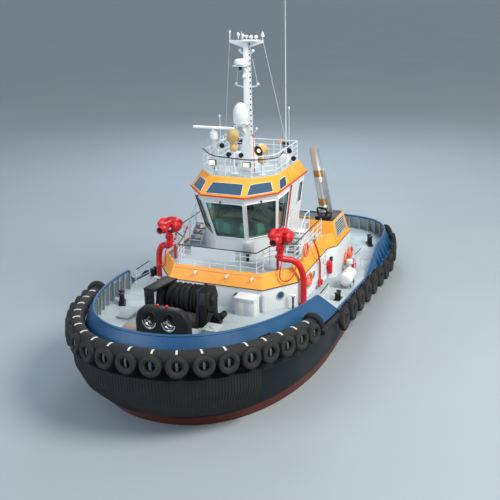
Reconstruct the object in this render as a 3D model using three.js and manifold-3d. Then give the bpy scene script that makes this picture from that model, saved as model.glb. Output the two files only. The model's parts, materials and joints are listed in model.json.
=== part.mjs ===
// A compact stern-drive harbour tug, afloat, in millimetres.
// +X points to the bow, +Y to port and +Z up. The origin is amidships on the waterline.
import * as THREE from "three";
import { mergeVertices } from "three/addons/utils/BufferGeometryUtils.js";
import Module from "manifold-3d";

const wasm = await Module();
wasm.setup();

// Clearance between pieces that touch
const GAP = 0.3;
const FOOT = 0.5;

// Hull plan at the deck edge, and the rise of the deck towards the bow
const DECK = { half: 5270, bow: 11730, stern: -11750, bowStart: 2400, sternStart: -6130 };
const BOW_POWER = 2.23;
const STERN_POWER = 3.6;
const SHEER = { middle: 2013, slope: 0.1, lowest: 1400 };

// Levels of the hull from the keel up: height, half breadth, bow, stern.
// The last two are measured from the deck edge.
const HULL_LEVELS = [
  { z: -3000, half: 900, bow: 8000, stern: -2600 },
  { z: -2500, half: 3100, bow: 9200, stern: -5200 },
  { z: -1300, half: 4500, bow: 10000, stern: -9200 },
  { z: -500, half: 4850, bow: 10300, stern: -10900 },
  { z: 250, half: 5000, bow: 10650, stern: -11350 },
  { drop: 700, half: 5200, bow: 11480, stern: -11650 },
  { drop: 0, half: DECK.half, bow: DECK.bow, stern: DECK.stern },
];
const BOW_STEPS = 16;
const STERN_STEPS = 10;
const SIDE_STEPS = 4;
const SKEG = { fore: 3200, aft: -6900, half: 170, foot: -3700, top: -2200 };

// Bulwarks: both leaning in, the fore one more, each ending in a slope to the deck
const FORE_BULWARK = { height: 1022, lean: 498, thick: 90, railEnd: 4030, footEnd: 2730 };
const AFT_BULWARK = { height: 850, lean: 300, thick: 90, railEnd: -6300, footEnd: -2550 };
const FAIRLEADS = [
  { x: 8600, side: 1 },
  { x: 8600, side: -1 },
];
const FAIRLEAD = { width: 620, height: 300, above: 470 };

// Fendering along the deck edge
const ROLL = { radius: 310, above: 450, end: 5900, off: 60, heel: 160, play: 0.9 };
const BOW_TYRE = { radius: 425, width: 230, hole: 150, spacing: 850, rows: 9 };
const SIDE_TYRE = { radius: 550, width: 300, hole: 200, lowered: -480 };
const SIDE_TYRES_X = [2500, 1000, -450, -1900, -3350, -4800, -6250];
const STERN_TYRES = { spacing: 1160, perSide: 7, above: 60, lowered: -480, fore: -7400, turn: 3000 };
const STRAKE_JOINT = { fore: -6806, aft: -6830 };
const BLOCK = { end: 9300, proud: 430, top: 330, bottom: 2350, rake: 0.42 };

// Deckhouse plan, port half from the front corner aft, and its levels
const HOUSE = [
  { x: 4387, y: 2285 },
  { x: 2976, y: 3437 },
  { x: -1750, y: 3437 },
  { x: -2270, y: 3780 },
  { x: -4900, y: 3780 },
];
const HOUSE_WALL = 90;
const COAMING = { foot: 3487, top: 4118, lean: 286 };
const BOAT_DECK = { top: 3998, plate: 90, inset: 215 };

// Wheelhouse plans: at the floor and sill, at the top of the walls, visor edge and roof
const SILL = [
  { x: 2420, y: 790 },
  { x: 1180, y: 1840 },
  { x: -2100, y: 1840 },
];
const WALL_HEAD = [
  { x: 3190, y: 1020 },
  { x: 1890, y: 2130 },
  { x: -2100, y: 2130 },
];
const VISOR = [
  { x: 3270, y: 1060 },
  { x: 1900, y: 2200 },
  { x: -2260, y: 2200 },
];
const ROOF = [
  { x: 2140, y: 1000 },
  { x: 1200, y: 1880 },
  { x: -1940, y: 1880 },
];
const WHEELHOUSE = { floor: 3998.3, sill: 5000, head: 7180, visor: 7215, roof: 7885, wall: 80 };
const WINDOW = { low: 5090, high: 6870, post: 95, glass: 14, lap: 45 };

// Moving pieces: their pivots and sizes
const THRUSTER = {
  x: -8200, y: 1950, top: -2150, hub: -3850, nozzle: 1150, bore: 980, length: 1060, ringAft: 430, screwAft: 340,
};
const WINCH = { x: 6750, y: -330, z: 3780, radius: 620, core: 300, half: 760 };
const MONITOR = { x: 3300, y: 2740, z: 5150, pivot: 520 };
const RADAR = { x: 1200, y: -1220, z: 9780, length: 2060 };

// Side and back windows and the doorway of the wheelhouse
const SIDE_WINDOW = { aft: 200 };
const AFT_SIDE_WINDOW = { fore: -1350, aft: -1900, foot: 5850 };
const BACK_WINDOWS = [[-1650, -700], [750, 1650]];
const DOORWAY = { low: -560, high: 140, foot: 4120, top: 6350 };

// Side doorways of the deckhouse, and the clearance and thickness of every door
const SIDE_DOORWAY = { aft: -1450, fore: -800, foot: 2080, top: 3430 };
const DOOR = { play: 6, thick: 50, proud: 5 };

// Uptakes abaft the wheelhouse
const FUNNEL = {
  foot: { fore: -2330, aft: -4820, inner: 2100, outer: 3760, z: COAMING.foot + GAP },
  top: { fore: -2600, aft: -4560, inner: 2200, outer: 3450, z: 4640 },
};
const EXHAUST = { foot: [-4150, 2590, 4560], head: [-4150, 1930, 8120], radius: 225, slant: -32 };

// Line of the boat deck rail, port half from the front
const BOAT_RAIL = [
  { x: 4071, y: 1900 },
  { x: 3050, y: 2150 },
  { x: 2500, y: 2750 },
  { x: 2400, y: 3121 },
  { x: -1700, y: 3121 },
];

// Gear on the roof and mast
const MAST = { x: -40, foot: 7885, waist: 9300, top: 13720 };
const DOME = { x: 640, z: 10060, radius: 350 };
const WHIP = { x: 240, y: 1980, foot: 8350, top: 17200 };

// Gear on the decks
const STAIRS = { x: 1000, y: 2240, foot: 3998, rise: 205, going: 215, steps: 4, width: 620, landed: 700 };
const STAPLE = {
  x: 8900, y: -220, half: 1180, depth: 460, height: 1380,
  hole: [{ at: 350, wide: 240, tall: 300, up: 700 }, { at: -600, wide: 240, tall: 300, up: 700 }],
};
const BITTS = [
  { name: "bitts_fore_port", x: 5900, y: 3950, turn: -28 },
  { name: "bitts_fore_starboard", x: 5900, y: -3950, turn: 28 },
  { name: "bitts_aft_port", x: -8700, y: 4000, turn: 25 },
  { name: "bitts_aft_starboard", x: -8700, y: -4000, turn: -25 },
];
const RAFT = { x: -900, y: 4750, radius: 330, length: 1150 };
const LOCKER = { x: 4900, y: 1750, depth: 620, half: 460, height: 960 };
const HATCH = { x: 7850, y: 1450, half: 360, height: 260 };
const FIRE_MAIN = { radius: 150 };

/** A plain solid from a closed geometry, whichever way its faces were wound. */
function solid(geometry) {
  const bare = new THREE.BufferGeometry();
  bare.setAttribute("position", geometry.getAttribute("position"));
  if (geometry.index) bare.setIndex(geometry.index);
  const merged = mergeVertices(bare, 1e-3);
  const points = merged.getAttribute("position").array;
  const kept = [];
  let volume = 0;
  const at = (i) => new THREE.Vector3(points[3 * i], points[3 * i + 1], points[3 * i + 2]);
  for (let i = 0; i < merged.index.count; i += 3) {
    const [a, b, c] = [0, 1, 2].map((k) => merged.index.getX(i + k));
    if (a === b || b === c || a === c) continue;
    kept.push([a, b, c]);
    volume += at(a).dot(at(b).cross(at(c)));
  }
  const wound = volume < 0 ? kept.map(([a, b, c]) => [a, c, b]) : kept;
  return new wasm.Manifold(new wasm.Mesh({
    numProp: 3,
    vertProperties: new Float32Array(points),
    triVerts: new Uint32Array(wound.flat()),
  }));
}

/** One solid from several that overlap. */
function join(first, ...others) {
  return others.reduce((whole, piece) => whole.add(piece), first);
}

/** A box between two corners. */
function box(x0, x1, y0, y1, z0, z1) {
  const shape = new THREE.BoxGeometry(x1 - x0, y1 - y0, z1 - z0);
  shape.translate((x0 + x1) / 2, (y0 + y1) / 2, (z0 + z1) / 2);
  return solid(shape);
}

/** A round or tapered rod from one point to another. */
function rod(from, to, radius, sides = 10, endRadius = radius) {
  const [a, b] = [new THREE.Vector3(...from), new THREE.Vector3(...to)];
  const shape = new THREE.CylinderGeometry(endRadius, radius, a.distanceTo(b), sides);
  const turn = new THREE.Quaternion().setFromUnitVectors(
    new THREE.Vector3(0, 1, 0), b.clone().sub(a).normalize());
  shape.applyQuaternion(turn);
  shape.translate(...a.add(b).multiplyScalar(0.5).toArray());
  return solid(shape);
}

/** A round tube that follows points, with rounded corners between them. */
function pipe(points, radius, steps = 24, sides = 12) {
  const line = new THREE.CatmullRomCurve3(points.map((p) => new THREE.Vector3(...p)), false, "centripetal");
  const ring = new THREE.Shape().absarc(0, 0, radius, 0, 2 * Math.PI);
  return solid(new THREE.ExtrudeGeometry(ring, { steps, curveSegments: sides / 2, extrudePath: line }));
}

/** A turned piece: a profile of [radius, along] pairs about an axis through a point. */
function turned(profile, centre, axis, sides = 20) {
  const shape = new THREE.LatheGeometry(profile.map(([r, h]) => new THREE.Vector2(r, h)), sides);
  const turn = new THREE.Quaternion().setFromUnitVectors(
    new THREE.Vector3(0, 1, 0), new THREE.Vector3(...axis).normalize());
  shape.applyQuaternion(turn);
  shape.translate(...centre);
  return solid(shape);
}

/** A solid skinned over rings with the same number of points; the ends are closed by a fan or strips. */
function loft(rings, strips = false) {
  const count = rings[0].length;
  const points = rings.flat();
  const faces = [];
  for (let r = 0; r < rings.length - 1; r += 1) {
    for (let i = 0; i < count; i += 1) {
      const j = (i + 1) % count;
      const [a, b, c, d] = [r * count + i, r * count + j, (r + 1) * count + j, (r + 1) * count + i];
      faces.push(a, b, c, a, c, d);
    }
  }
  const cap = strips ? stripCap(count) : polygonCap(rings[0]);
  const last = (rings.length - 1) * count;
  for (const [a, b, c] of cap) {
    faces.push(a, c, b);
    faces.push(last + a, last + b, last + c);
  }
  const shape = new THREE.BufferGeometry();
  const flat = points.flatMap((p) => [p.x, p.y, p.z]);
  shape.setAttribute("position", new THREE.Float32BufferAttribute(flat, 3));
  shape.setIndex(faces);
  return solid(shape);
}

/** Triangles over a ring that is the same on both sides of the centreline. */
function stripCap(count) {
  const half = count / 2;
  const faces = [[0, 1, count - 1]];
  for (let i = 1; i < half - 1; i += 1) {
    faces.push([i, i + 1, count - i - 1], [i, count - i - 1, count - i]);
  }
  faces.push([half - 1, half, half + 1]);
  return faces;
}

/** Triangles over a flat ring of any outline, in its own plane. */
function polygonCap(ring) {
  const normal = new THREE.Vector3();
  ring.forEach((p, i) => normal.add(p.clone().cross(ring[(i + 1) % ring.length])));
  const turn = new THREE.Quaternion().setFromUnitVectors(
    normal.normalize(), new THREE.Vector3(0, 0, 1));
  const flat = ring.map((p) => p.clone().applyQuaternion(turn)).map((p) => new THREE.Vector2(p.x, p.y));
  return THREE.ShapeUtils.triangulateShape(flat, []);
}

/** Height of the deck edge at a place along the hull. */
function deckZ(x) {
  return Math.max(SHEER.lowest, SHEER.middle + SHEER.slope * x);
}

/** A signed power, for the rounded ends of the hull's plan. */
function bend(value, power) {
  return Math.sign(value) * Math.abs(value) ** (2 / power);
}

/** Port half of a hull plan, from the stem to the stern on the centreline. */
function halfPlan({ half, bow, stern }) {
  const line = [];
  for (let i = 0; i <= BOW_STEPS; i += 1) {
    const a = (Math.PI / 2) * (i / BOW_STEPS);
    const x = DECK.bowStart + (bow - DECK.bowStart) * bend(Math.cos(a), BOW_POWER);
    line.push({ x, y: half * bend(Math.sin(a), BOW_POWER) });
  }
  const sternStart = Math.max(DECK.sternStart, stern * 0.6);
  for (let i = 1; i < SIDE_STEPS; i += 1) {
    line.push({ x: THREE.MathUtils.lerp(DECK.bowStart, sternStart, i / SIDE_STEPS), y: half });
  }
  for (let i = 0; i <= STERN_STEPS; i += 1) {
    const a = (Math.PI / 2) * (i / STERN_STEPS);
    const x = sternStart + (stern - sternStart) * bend(Math.sin(a), STERN_POWER);
    line.push({ x, y: half * bend(Math.cos(a), STERN_POWER) });
  }
  line[0].y = 0;
  line[line.length - 1].y = 0;
  return line;
}

/** The hull's skin, grown a little where other pieces are cut to it. */
function hullSkin(grow = 0) {
  const rings = HULL_LEVELS.map((level) => {
    const plan = halfPlan({ half: level.half + grow, bow: level.bow + grow, stern: level.stern - grow });
    const rise = level.drop === 0 ? grow : 0;
    const height = (p) => (level.z ?? deckZ(p.x) - level.drop) + rise;
    const port = plan.map((p) => new THREE.Vector3(p.x, p.y, height(p)));
    const starboard = port.slice(1, -1).reverse().map((p) => new THREE.Vector3(p.x, -p.y, p.z));
    return [...port, ...starboard];
  });
  return loft(rings, true);
}

/** The deck edge all round, from the stem down the port side and back. */
function edgePath(inset = 0) {
  const plan = halfPlan({ half: DECK.half - inset, bow: DECK.bow - inset, stern: DECK.stern + inset });
  return [...plan, ...plan.slice(1, -1).reverse().map((p) => ({ x: p.x, y: -p.y }))];
}

/** Outward directions and mitres for a polyline, closed or open. */
function framed(points, closed) {
  return points.map((p, i) => {
    const before = closed ? points.at(i - 1) : points[Math.max(0, i - 1)];
    const after = closed ? points[(i + 1) % points.length] : points[Math.min(points.length - 1, i + 1)];
    const first = new THREE.Vector2(p.x - before.x, p.y - before.y).normalize();
    const second = new THREE.Vector2(after.x - p.x, after.y - p.y).normalize();
    if (first.length() === 0) first.copy(second);
    if (second.length() === 0) second.copy(first);
    const along = first.clone().add(second).normalize();
    return { x: p.x, y: p.y, z: p.z, out: new THREE.Vector2(along.y, -along.x), mitre: 1 / along.dot(first) };
  });
}

/** A section of [out, up] pairs carried along a polyline; it may differ from place to place. */
function sweep(points, sectionAt, closed = false) {
  const frames = framed(points, closed);
  const rings = frames.map((f) => sectionAt(f).map(([out, up]) => new THREE.Vector3(
    f.x + f.out.x * out * f.mitre, f.y + f.out.y * out * f.mitre, f.z + up)));
  if (!closed) return loft(rings);
  const count = rings[0].length;
  const faces = [];
  rings.forEach((ring, r) => {
    const next = ((r + 1) % rings.length) * count;
    ring.forEach((p, i) => {
      const j = (i + 1) % count;
      faces.push(r * count + i, r * count + j, next + j, r * count + i, next + j, next + i);
    });
  });
  const shape = new THREE.BufferGeometry();
  shape.setAttribute("position", new THREE.Float32BufferAttribute(rings.flat().flatMap((p) => [p.x, p.y, p.z]), 3));
  shape.setIndex(faces);
  return solid(shape);
}

/** The part of the deck edge that keeps x above or below a limit, in order round the bow or stern. */
function edgeBetween(inset, forward, limit) {
  const ring = edgePath(inset);
  const count = ring.length;
  const cross = (a, b) => {
    const t = (limit - a.x) / (b.x - a.x);
    return { x: limit, y: THREE.MathUtils.lerp(a.y, b.y, t) };
  };
  const keep = (p) => (forward ? p.x > limit + 1 : p.x < limit - 1);
  const start = ring.findIndex((p, i) => keep(p) && !keep(ring.at(i - 1)));
  const line = [cross(ring.at(start - 1), ring[start])];
  let i = start;
  while (keep(ring[i % count])) {
    line.push(ring[i % count]);
    i += 1;
  }
  line.push(cross(ring.at((i - 1) % count), ring[i % count]));
  return line.map((p) => ({ ...p, z: deckZ(p.x) }));
}

/** Both sides of a half plan as one ring at one height. */
function ringOf(halfPoints, z) {
  const port = halfPoints.map((p) => new THREE.Vector3(p.x, p.y, z));
  const starboard = halfPoints.slice().reverse().map((p) => new THREE.Vector3(p.x, -p.y, z));
  return [...port, ...starboard];
}

/** A half plan moved inward by a distance. */
function insetPlan(halfPoints, distance) {
  const whole = ringOf(halfPoints, 0).map((p) => ({ x: p.x, y: p.y, z: 0 }));
  const moved = framed(whole, true).map((f) => ({
    x: f.x - f.out.x * distance * f.mitre,
    y: f.y - f.out.y * distance * f.mitre,
  }));
  return moved.slice(0, halfPoints.length);
}

/** A solid between two half plans at two heights. */
function tapered(lowPlan, low, highPlan, high) {
  return loft([ringOf(lowPlan, low), ringOf(highPlan, high)]);
}

/** A wall of one thickness between two half plans, open above and below. */
function shell(lowPlan, low, highPlan, high, thick) {
  const inner = loft([
    ringOf(insetPlan(blendPlan(lowPlan, highPlan, -0.05), thick), low - 0.05 * (high - low)),
    ringOf(insetPlan(blendPlan(lowPlan, highPlan, 1.05), thick), high + 0.05 * (high - low)),
  ]);
  return tapered(lowPlan, low, highPlan, high).subtract(inner);
}

/** A plan part of the way from one to another. */
function blendPlan(low, high, part) {
  return low.map((p, i) => ({
    x: THREE.MathUtils.lerp(p.x, high[i].x, part),
    y: THREE.MathUtils.lerp(p.y, high[i].y, part),
  }));
}

/** A cutter through one side of a leaning wall, between two shares of its width and two heights. */
function windowCut(lowPlan, low, highPlan, high, side, edge, z0, z1, depth) {
  const at = (share, z) => {
    const part = (z - low) / (high - low);
    const plan = ringOf(blendPlan(lowPlan, highPlan, part), z);
    const [a, b] = [plan.at(side), plan[(side + 1 + plan.length) % plan.length]];
    const width = a.distanceTo(b);
    const inset = share === 0 ? edge / width : 1 - edge / width;
    return a.clone().lerp(b, inset);
  };
  const corners = [at(0, z0), at(1, z0), at(1, z1), at(0, z1)];
  const out = corners[1].clone().sub(corners[0]).cross(corners[3].clone().sub(corners[0])).normalize();
  const moved = (d) => corners.map((p) => p.clone().addScaledVector(out, d));
  return loft([moved(-depth), moved(depth)]);
}

/** The same solid on the other side of the centreline. */
function mirrored(piece) {
  return piece.mirror([0, 1, 0]);
}

const hullCutter = hullSkin(GAP);

/** The decked hull with its skeg and the pads over the thrusters. */
function hull() {
  const skeg = loft([SKEG.top, SKEG.foot].map((z, i) => [
    new THREE.Vector3(SKEG.aft + 300 * i, -SKEG.half, z),
    new THREE.Vector3(SKEG.fore - 900 * i, -SKEG.half, z),
    new THREE.Vector3(SKEG.fore - 900 * i, SKEG.half, z),
    new THREE.Vector3(SKEG.aft + 300 * i, SKEG.half, z),
  ]));
  const pads = [-1, 1].map((side) => rod(
    [THRUSTER.x, side * THRUSTER.y, THRUSTER.top + 40], [THRUSTER.x, side * THRUSTER.y, -700], 1000, 24));
  return join(hullSkin(), skeg, ...pads);
}

/** Top height of a bulwark that slopes to the deck at its ends. */
function railHeight(x, bulwark) {
  const share = (x - bulwark.footEnd) / (bulwark.railEnd - bulwark.footEnd);
  return bulwark.height * THREE.MathUtils.clamp(share, 0.02, 1);
}

/** The bulwark round the bow, leaning inwards, with two fairleads cut through it. */
function foreBulwark() {
  const path = withKnee(edgeBetween(0, true, FORE_BULWARK.footEnd), FORE_BULWARK.railEnd);
  const wall = sweep(path, (f) => bulwarkSection(f, FORE_BULWARK));
  const cuts = FAIRLEADS.map(({ x, side }) => {
    const at = framed(edgeBetween(0, true, FORE_BULWARK.footEnd), false)
      .filter((f) => Math.sign(f.y) === side)
      .reduce((best, f) => (Math.abs(f.x - x) < Math.abs(best.x - x) ? f : best));
    const shape = new THREE.BoxGeometry(FAIRLEAD.width, 2000, FAIRLEAD.height);
    shape.rotateZ(Math.atan2(at.out.y, at.out.x) - Math.PI / 2);
    shape.translate(at.x, at.y, deckZ(at.x) + FAIRLEAD.above);
    return solid(shape);
  });
  return cuts.reduce((whole, cut) => whole.subtract(cut), wall);
}

/** A path with extra points where the rail starts to slope. */
function withKnee(path, kneeX) {
  const line = [];
  path.forEach((p, i) => {
    const before = path[i - 1];
    if (before && (before.x - kneeX) * (p.x - kneeX) < 0) {
      const y = THREE.MathUtils.lerp(before.y, p.y, (kneeX - before.x) / (p.x - before.x));
      line.push({ x: kneeX, y, z: deckZ(kneeX) });
    }
    line.push(p);
  });
  return line;
}

/** The section of a bulwark that leans in from the deck edge. */
function bulwarkSection(f, bulwark) {
  const top = railHeight(f.x, bulwark);
  const lean = (bulwark.lean * top) / bulwark.height;
  return [[0, FOOT], [-lean, top], [-lean - bulwark.thick, top], [-bulwark.thick, FOOT]];
}

/** The bulwark round the stern, leaning inwards. */
function aftBulwark() {
  const path = withKnee(edgeBetween(0, false, AFT_BULWARK.footEnd), AFT_BULWARK.railEnd);
  return sweep(path, (f) => bulwarkSection(f, AFT_BULWARK));
}

/** A tyre lying against the hull, its axle pointing outwards. */
function tyre({ radius, width, hole }, centre, out) {
  const half = width / 2;
  const profile = [[hole, -half], [radius, -half], [radius, half], [hole, half], [hole, -half]];
  return turned(profile, centre, [out.x, out.y, out.z], 8);
}

/** Points at even distances along a path, counted from the middle both ways. */
function evenly(path, spacing, perSide) {
  const frames = framed(path, false);
  const length = [0];
  for (let i = 1; i < frames.length; i += 1) {
    length.push(length[i - 1] + Math.hypot(frames[i].x - frames[i - 1].x, frames[i].y - frames[i - 1].y));
  }
  const middle = length.at(-1) / 2;
  const at = (s) => {
    const i = Math.min(length.findIndex((l) => l >= s) || 1, length.length - 1);
    const t = (s - length[i - 1]) / (length[i] - length[i - 1]);
    const [a, b] = [frames[i - 1], frames[i]];
    const out = a.out.clone().lerp(b.out, t).normalize();
    return { x: THREE.MathUtils.lerp(a.x, b.x, t), y: THREE.MathUtils.lerp(a.y, b.y, t), out };
  };
  const places = [];
  for (let k = -perSide; k <= perSide; k += 1) {
    places.push(at(middle + k * spacing));
  }
  return places;
}

/** The roll of rubber round the bow with its row of tyres. */
function bowFender() {
  const out = ROLL.radius - (FORE_BULWARK.lean * ROLL.above) / FORE_BULWARK.height + ROLL.off;
  const round = Array.from({ length: 6 }, (_, i) => {
    const a = (i / 6) * 2 * Math.PI;
    const heel = i === 3 ? ROLL.heel : 0;
    return [out + ROLL.radius * Math.cos(a) - heel, ROLL.above + ROLL.radius * Math.sin(a)];
  });
  const path = edgeBetween(0, true, ROLL.end);
  const roll = sweep(path, () => round).subtract(foreBulwarkCutter()).subtract(hullCutter);
  const tyres = evenly(path, BOW_TYRE.spacing, BOW_TYRE.rows).map((p) => {
    const away = out + ROLL.radius + BOW_TYRE.width * 0.32;
    const centre = [p.x + p.out.x * away, p.y + p.out.y * away, deckZ(p.x) + ROLL.above - 150];
    return tyre(BOW_TYRE, centre, { x: p.out.x, y: p.out.y, z: 0.12 });
  });
  return join(roll, ...tyres);
}

/** What the fore bulwark takes up, with a clearance, down through the deck edge. */
function foreBulwarkCutter() {
  const slope = FORE_BULWARK.lean / FORE_BULWARK.height;
  return sweep(edgeBetween(0, true, FORE_BULWARK.footEnd), () => [
    [ROLL.play + 100 * slope, -100], [ROLL.play - 1300 * slope, 1300], [-1500, 1300], [-1500, -100],
  ]);
}

/** The ribbed block under the bow fender, cut to the stem. */
function bowBlock() {
  const path = edgeBetween(0, true, BLOCK.end);
  const rake = (BLOCK.bottom - BLOCK.top) * BLOCK.rake;
  return sweep(path, () => [
    [BLOCK.proud, -BLOCK.top], [BLOCK.proud, -BLOCK.top - 700], [BLOCK.proud - rake, -BLOCK.bottom],
    [-1500, -BLOCK.bottom], [-300, -BLOCK.top],
  ]).subtract(hullCutter);
}

/** A rubbing strake on one side with the tyres hung on it. */
function sideFender(side) {
  const [fore, aft] = [ROLL.end - 600, STRAKE_JOINT.fore];
  const line = [fore, 2400, -6100, aft].map((x) => ({ x, y: DECK.half, z: deckZ(x) }));
  const strake = sweep(line, () => [[-200, -330], [150, -330], [150, -110], [-200, -110]]);
  const tyres = SIDE_TYRES_X.map((x) => tyre(
    SIDE_TYRE, [x, DECK.half + 75 + SIDE_TYRE.width / 2, deckZ(x) + SIDE_TYRE.lowered], { x: 0, y: 1, z: 0.1 }));
  const whole = join(strake, ...tyres);
  return (side > 0 ? whole : mirrored(whole)).subtract(hullCutter);
}

/** The strake and tyres round the stern. */
function sternFender() {
  const { spacing, perSide, above, lowered, fore, turn } = STERN_TYRES;
  const path = edgeBetween(0, false, STRAKE_JOINT.aft);
  const strake = sweep(path, () => [[-200, -330], [150, -330], [150, -110], [-200, -110]]).subtract(hullCutter);
  const tyres = evenly(path, spacing, perSide).map((p) => {
    const away = 75 + SIDE_TYRE.width / 2;
    const rise = lowered + (above - lowered) * THREE.MathUtils.clamp((fore - p.x) / turn, 0, 1);
    return tyre(SIDE_TYRE, [p.x + p.out.x * away, p.y + p.out.y * away, deckZ(p.x) + rise],
      { x: p.out.x, y: p.out.y, z: 0.1 });
  });
  return join(strake, ...tyres);
}

/** The deckhouse wall all round, from the deck to the coaming, before it is split. */
function houseWall() {
  const { aft, fore, foot, top } = SIDE_DOORWAY;
  const door = box(aft, fore, -6000, 6000, foot, top);
  return shell(HOUSE, 1000, HOUSE, COAMING.foot - GAP, HOUSE_WALL).subtract(door).subtract(hullCutter);
}

/** A wall cut to the space between two places along the boat, on one side or both. */
function wallPart(wall, x0, x1, side = 0) {
  const [y0, y1] = side === 0 ? [-8000, 8000] : side > 0 ? [GAP, 8000] : [-8000, -GAP];
  return wall.intersect(box(x0, x1, y0, y1, 0, 9000));
}

/** The sloped yellow band with the boat deck inside it. */
function boatDeck() {
  const top = insetPlan(HOUSE, COAMING.lean);
  const band = shell(HOUSE, COAMING.foot, top, COAMING.top, 60);
  const edge = insetPlan(HOUSE, BOAT_DECK.inset);
  const plate = tapered(edge, BOAT_DECK.top - BOAT_DECK.plate, edge, BOAT_DECK.top);
  return join(band, plate).subtract(funnel(1, GAP)).subtract(funnel(-1, GAP));
}

/** The wheelhouse wall all round, before it is split at its panels. */
function wheelhouseWall() {
  const { floor, sill, head, wall } = WHEELHOUSE;
  const whole = join(
    shell(SILL, floor, SILL, sill + 1, wall),
    shell(SILL, sill, WALL_HEAD, head, wall),
  );
  return wheelhouseCuts().reduce((left, cut) => left.subtract(cut), whole);
}

/** Window openings round the wheelhouse, and the doorway in its back. */
function wheelhouseCuts() {
  const { low, high, post } = WINDOW;
  const { sill, head } = WHEELHOUSE;
  const cut = (side, edge, z0, z1) => windowCut(SILL, sill, WALL_HEAD, head, side, edge, z0, z1, 200);
  const front = [-1, 0, -2].map((side) => cut(side, post, low, high));
  const sides = [1, -3].map((side) => cut(side, post, low, high)
    .intersect(box(SIDE_WINDOW.aft, 3000, -3000, 3000, low - 100, high + 100)));
  const { fore, aft, foot } = AFT_SIDE_WINDOW;
  const aftSides = [[1500, 2600], [-2600, -1500]].map(([y0, y1]) => box(aft, fore, y0, y1, foot, high));
  const back = BACK_WINDOWS.map(([y0, y1]) => box(-2600, -1800, y0, y1, 5500, high - 60));
  const door = box(-2600, -1800, DOORWAY.low, DOORWAY.high, DOORWAY.foot, DOORWAY.top);
  return [...front, ...sides, ...aftSides, ...back, door];
}

/** One band of glass inside the wheelhouse wall, left open at the doorway. */
function wheelhouseGlass() {
  const { sill, head, wall } = WHEELHOUSE;
  const rise = 0.05 * (head - sill);
  const layer = (depth) => loft([
    ringOf(insetPlan(blendPlan(SILL, WALL_HEAD, -0.05), depth), sill - rise),
    ringOf(insetPlan(blendPlan(SILL, WALL_HEAD, 1.05), depth), head + rise),
  ]);
  const band = box(-4000, 4000, -4000, 4000, WINDOW.low - WINDOW.lap, WINDOW.high + WINDOW.lap);
  return layer(wall + GAP).intersect(band).subtract(layer(wall + GAP + WINDOW.glass))
    .subtract(box(-3000, -1000, DOORWAY.low - 80, DOORWAY.high + 80, 4000, 8000));
}

/** The roof with its sloped visor, open below so that the cabin is hollow. */
function wheelhouseRoof() {
  const { visor, roof } = WHEELHOUSE;
  const lip = tapered(VISOR, WHEELHOUSE.head + GAP, VISOR, visor + 40);
  const cap = tapered(VISOR, visor + 40, ROOF, roof);
  const room = tapered(insetPlan(WALL_HEAD, 130), visor - 400, insetPlan(ROOF, 90), roof - 70);
  return join(lip, cap).subtract(room);
}

/** The helmsman's desk across the front of the wheelhouse. */
function wheelConsole() {
  const deskPlan = [new THREE.Vector2(1950, 560), new THREE.Vector2(1100, 1350), new THREE.Vector2(850, 1100),
    new THREE.Vector2(1350, 480)];
  const mirroredPlan = deskPlan.slice().reverse().map((p) => new THREE.Vector2(p.x, -p.y));
  const outline = new THREE.Shape([...deskPlan, ...mirroredPlan]);
  const shape = new THREE.ExtrudeGeometry(outline, { depth: 880, bevelEnabled: false });
  shape.translate(0, 0, WHEELHOUSE.floor);
  return solid(shape);
}

/** The helm chair: a pedestal, seat and back in one piece. */
function helmChair() {
  const { floor } = WHEELHOUSE;
  return join(
    rod([350, 0, floor], [350, 0, floor + 60], 260, 12),
    rod([350, 0, floor + 40], [350, 0, floor + 520], 55, 12),
    box(80, 600, -260, 260, floor + 500, floor + 620),
    box(40, 160, -250, 250, floor + 600, floor + 1250),
  );
}

/** The casing over an uptake, with sides that lean in. */
function funnel(side, grow = 0) {
  const ring = ({ fore, aft, inner, outer, z }, rise) => [
    new THREE.Vector3(aft - grow, inner - grow, z + rise), new THREE.Vector3(fore + grow, inner - grow, z + rise),
    new THREE.Vector3(fore + grow, outer + grow, z + rise), new THREE.Vector3(aft - grow, outer + grow, z + rise),
  ];
  const casing = loft([ring(FUNNEL.foot, -grow), ring(FUNNEL.top, grow)]);
  return side > 0 ? casing : mirrored(casing);
}

/** The exhaust pipe, leaning inboard, with its end cut on a slant. */
function exhaust(side) {
  const { foot, head, radius, slant } = EXHAUST;
  const up = new THREE.Vector3(...head).sub(new THREE.Vector3(...foot)).normalize();
  const outer = rod(foot, head, radius, 20);
  const bore = rod(
    new THREE.Vector3(...foot).addScaledVector(up, 600).toArray(),
    new THREE.Vector3(...head).addScaledVector(up, 200).toArray(), radius - 12, 20);
  const cutter = box(-2000, 2000, -2000, 2000, 0, 2000).rotate([0, slant, 0]).translate(head);
  const whole = outer.subtract(bore).subtract(cutter).subtract(funnel(1, GAP));
  return side > 0 ? whole : mirrored(whole);
}

/** A post and rail guard along a polyline at one height, with a middle rail. */
function guard(points, height, posts, closed = false, rails = [1, 0.55], thick = 22) {
  const bar = (h) => sweep(points.map((p) => ({ ...p, z: p.z + h })), () => [
    [-thick, -thick], [thick, -thick], [thick, thick], [-thick, thick],
  ], closed);
  const post = (p) => box(p.x - thick, p.x + thick, p.y - thick, p.y + thick, p.z + GAP, p.z + height);
  return join(...rails.map((share) => bar(height * share)), ...posts.map(post));
}

/** Places at even distances along a polyline, ends included. */
function along(points, count) {
  const length = points.slice(1).map((p, i) => Math.hypot(p.x - points[i].x, p.y - points[i].y));
  const whole = length.reduce((sum, l) => sum + l, 0);
  return Array.from({ length: count }, (_, k) => {
    let s = (whole * k) / (count - 1);
    let i = 0;
    while (i < length.length - 1 && s > length[i]) {
      s -= length[i];
      i += 1;
    }
    const t = s / length[i];
    const [a, b] = [points[i], points[i + 1]];
    return { x: THREE.MathUtils.lerp(a.x, b.x, t), y: THREE.MathUtils.lerp(a.y, b.y, t), z: a.z };
  });
}

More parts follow.
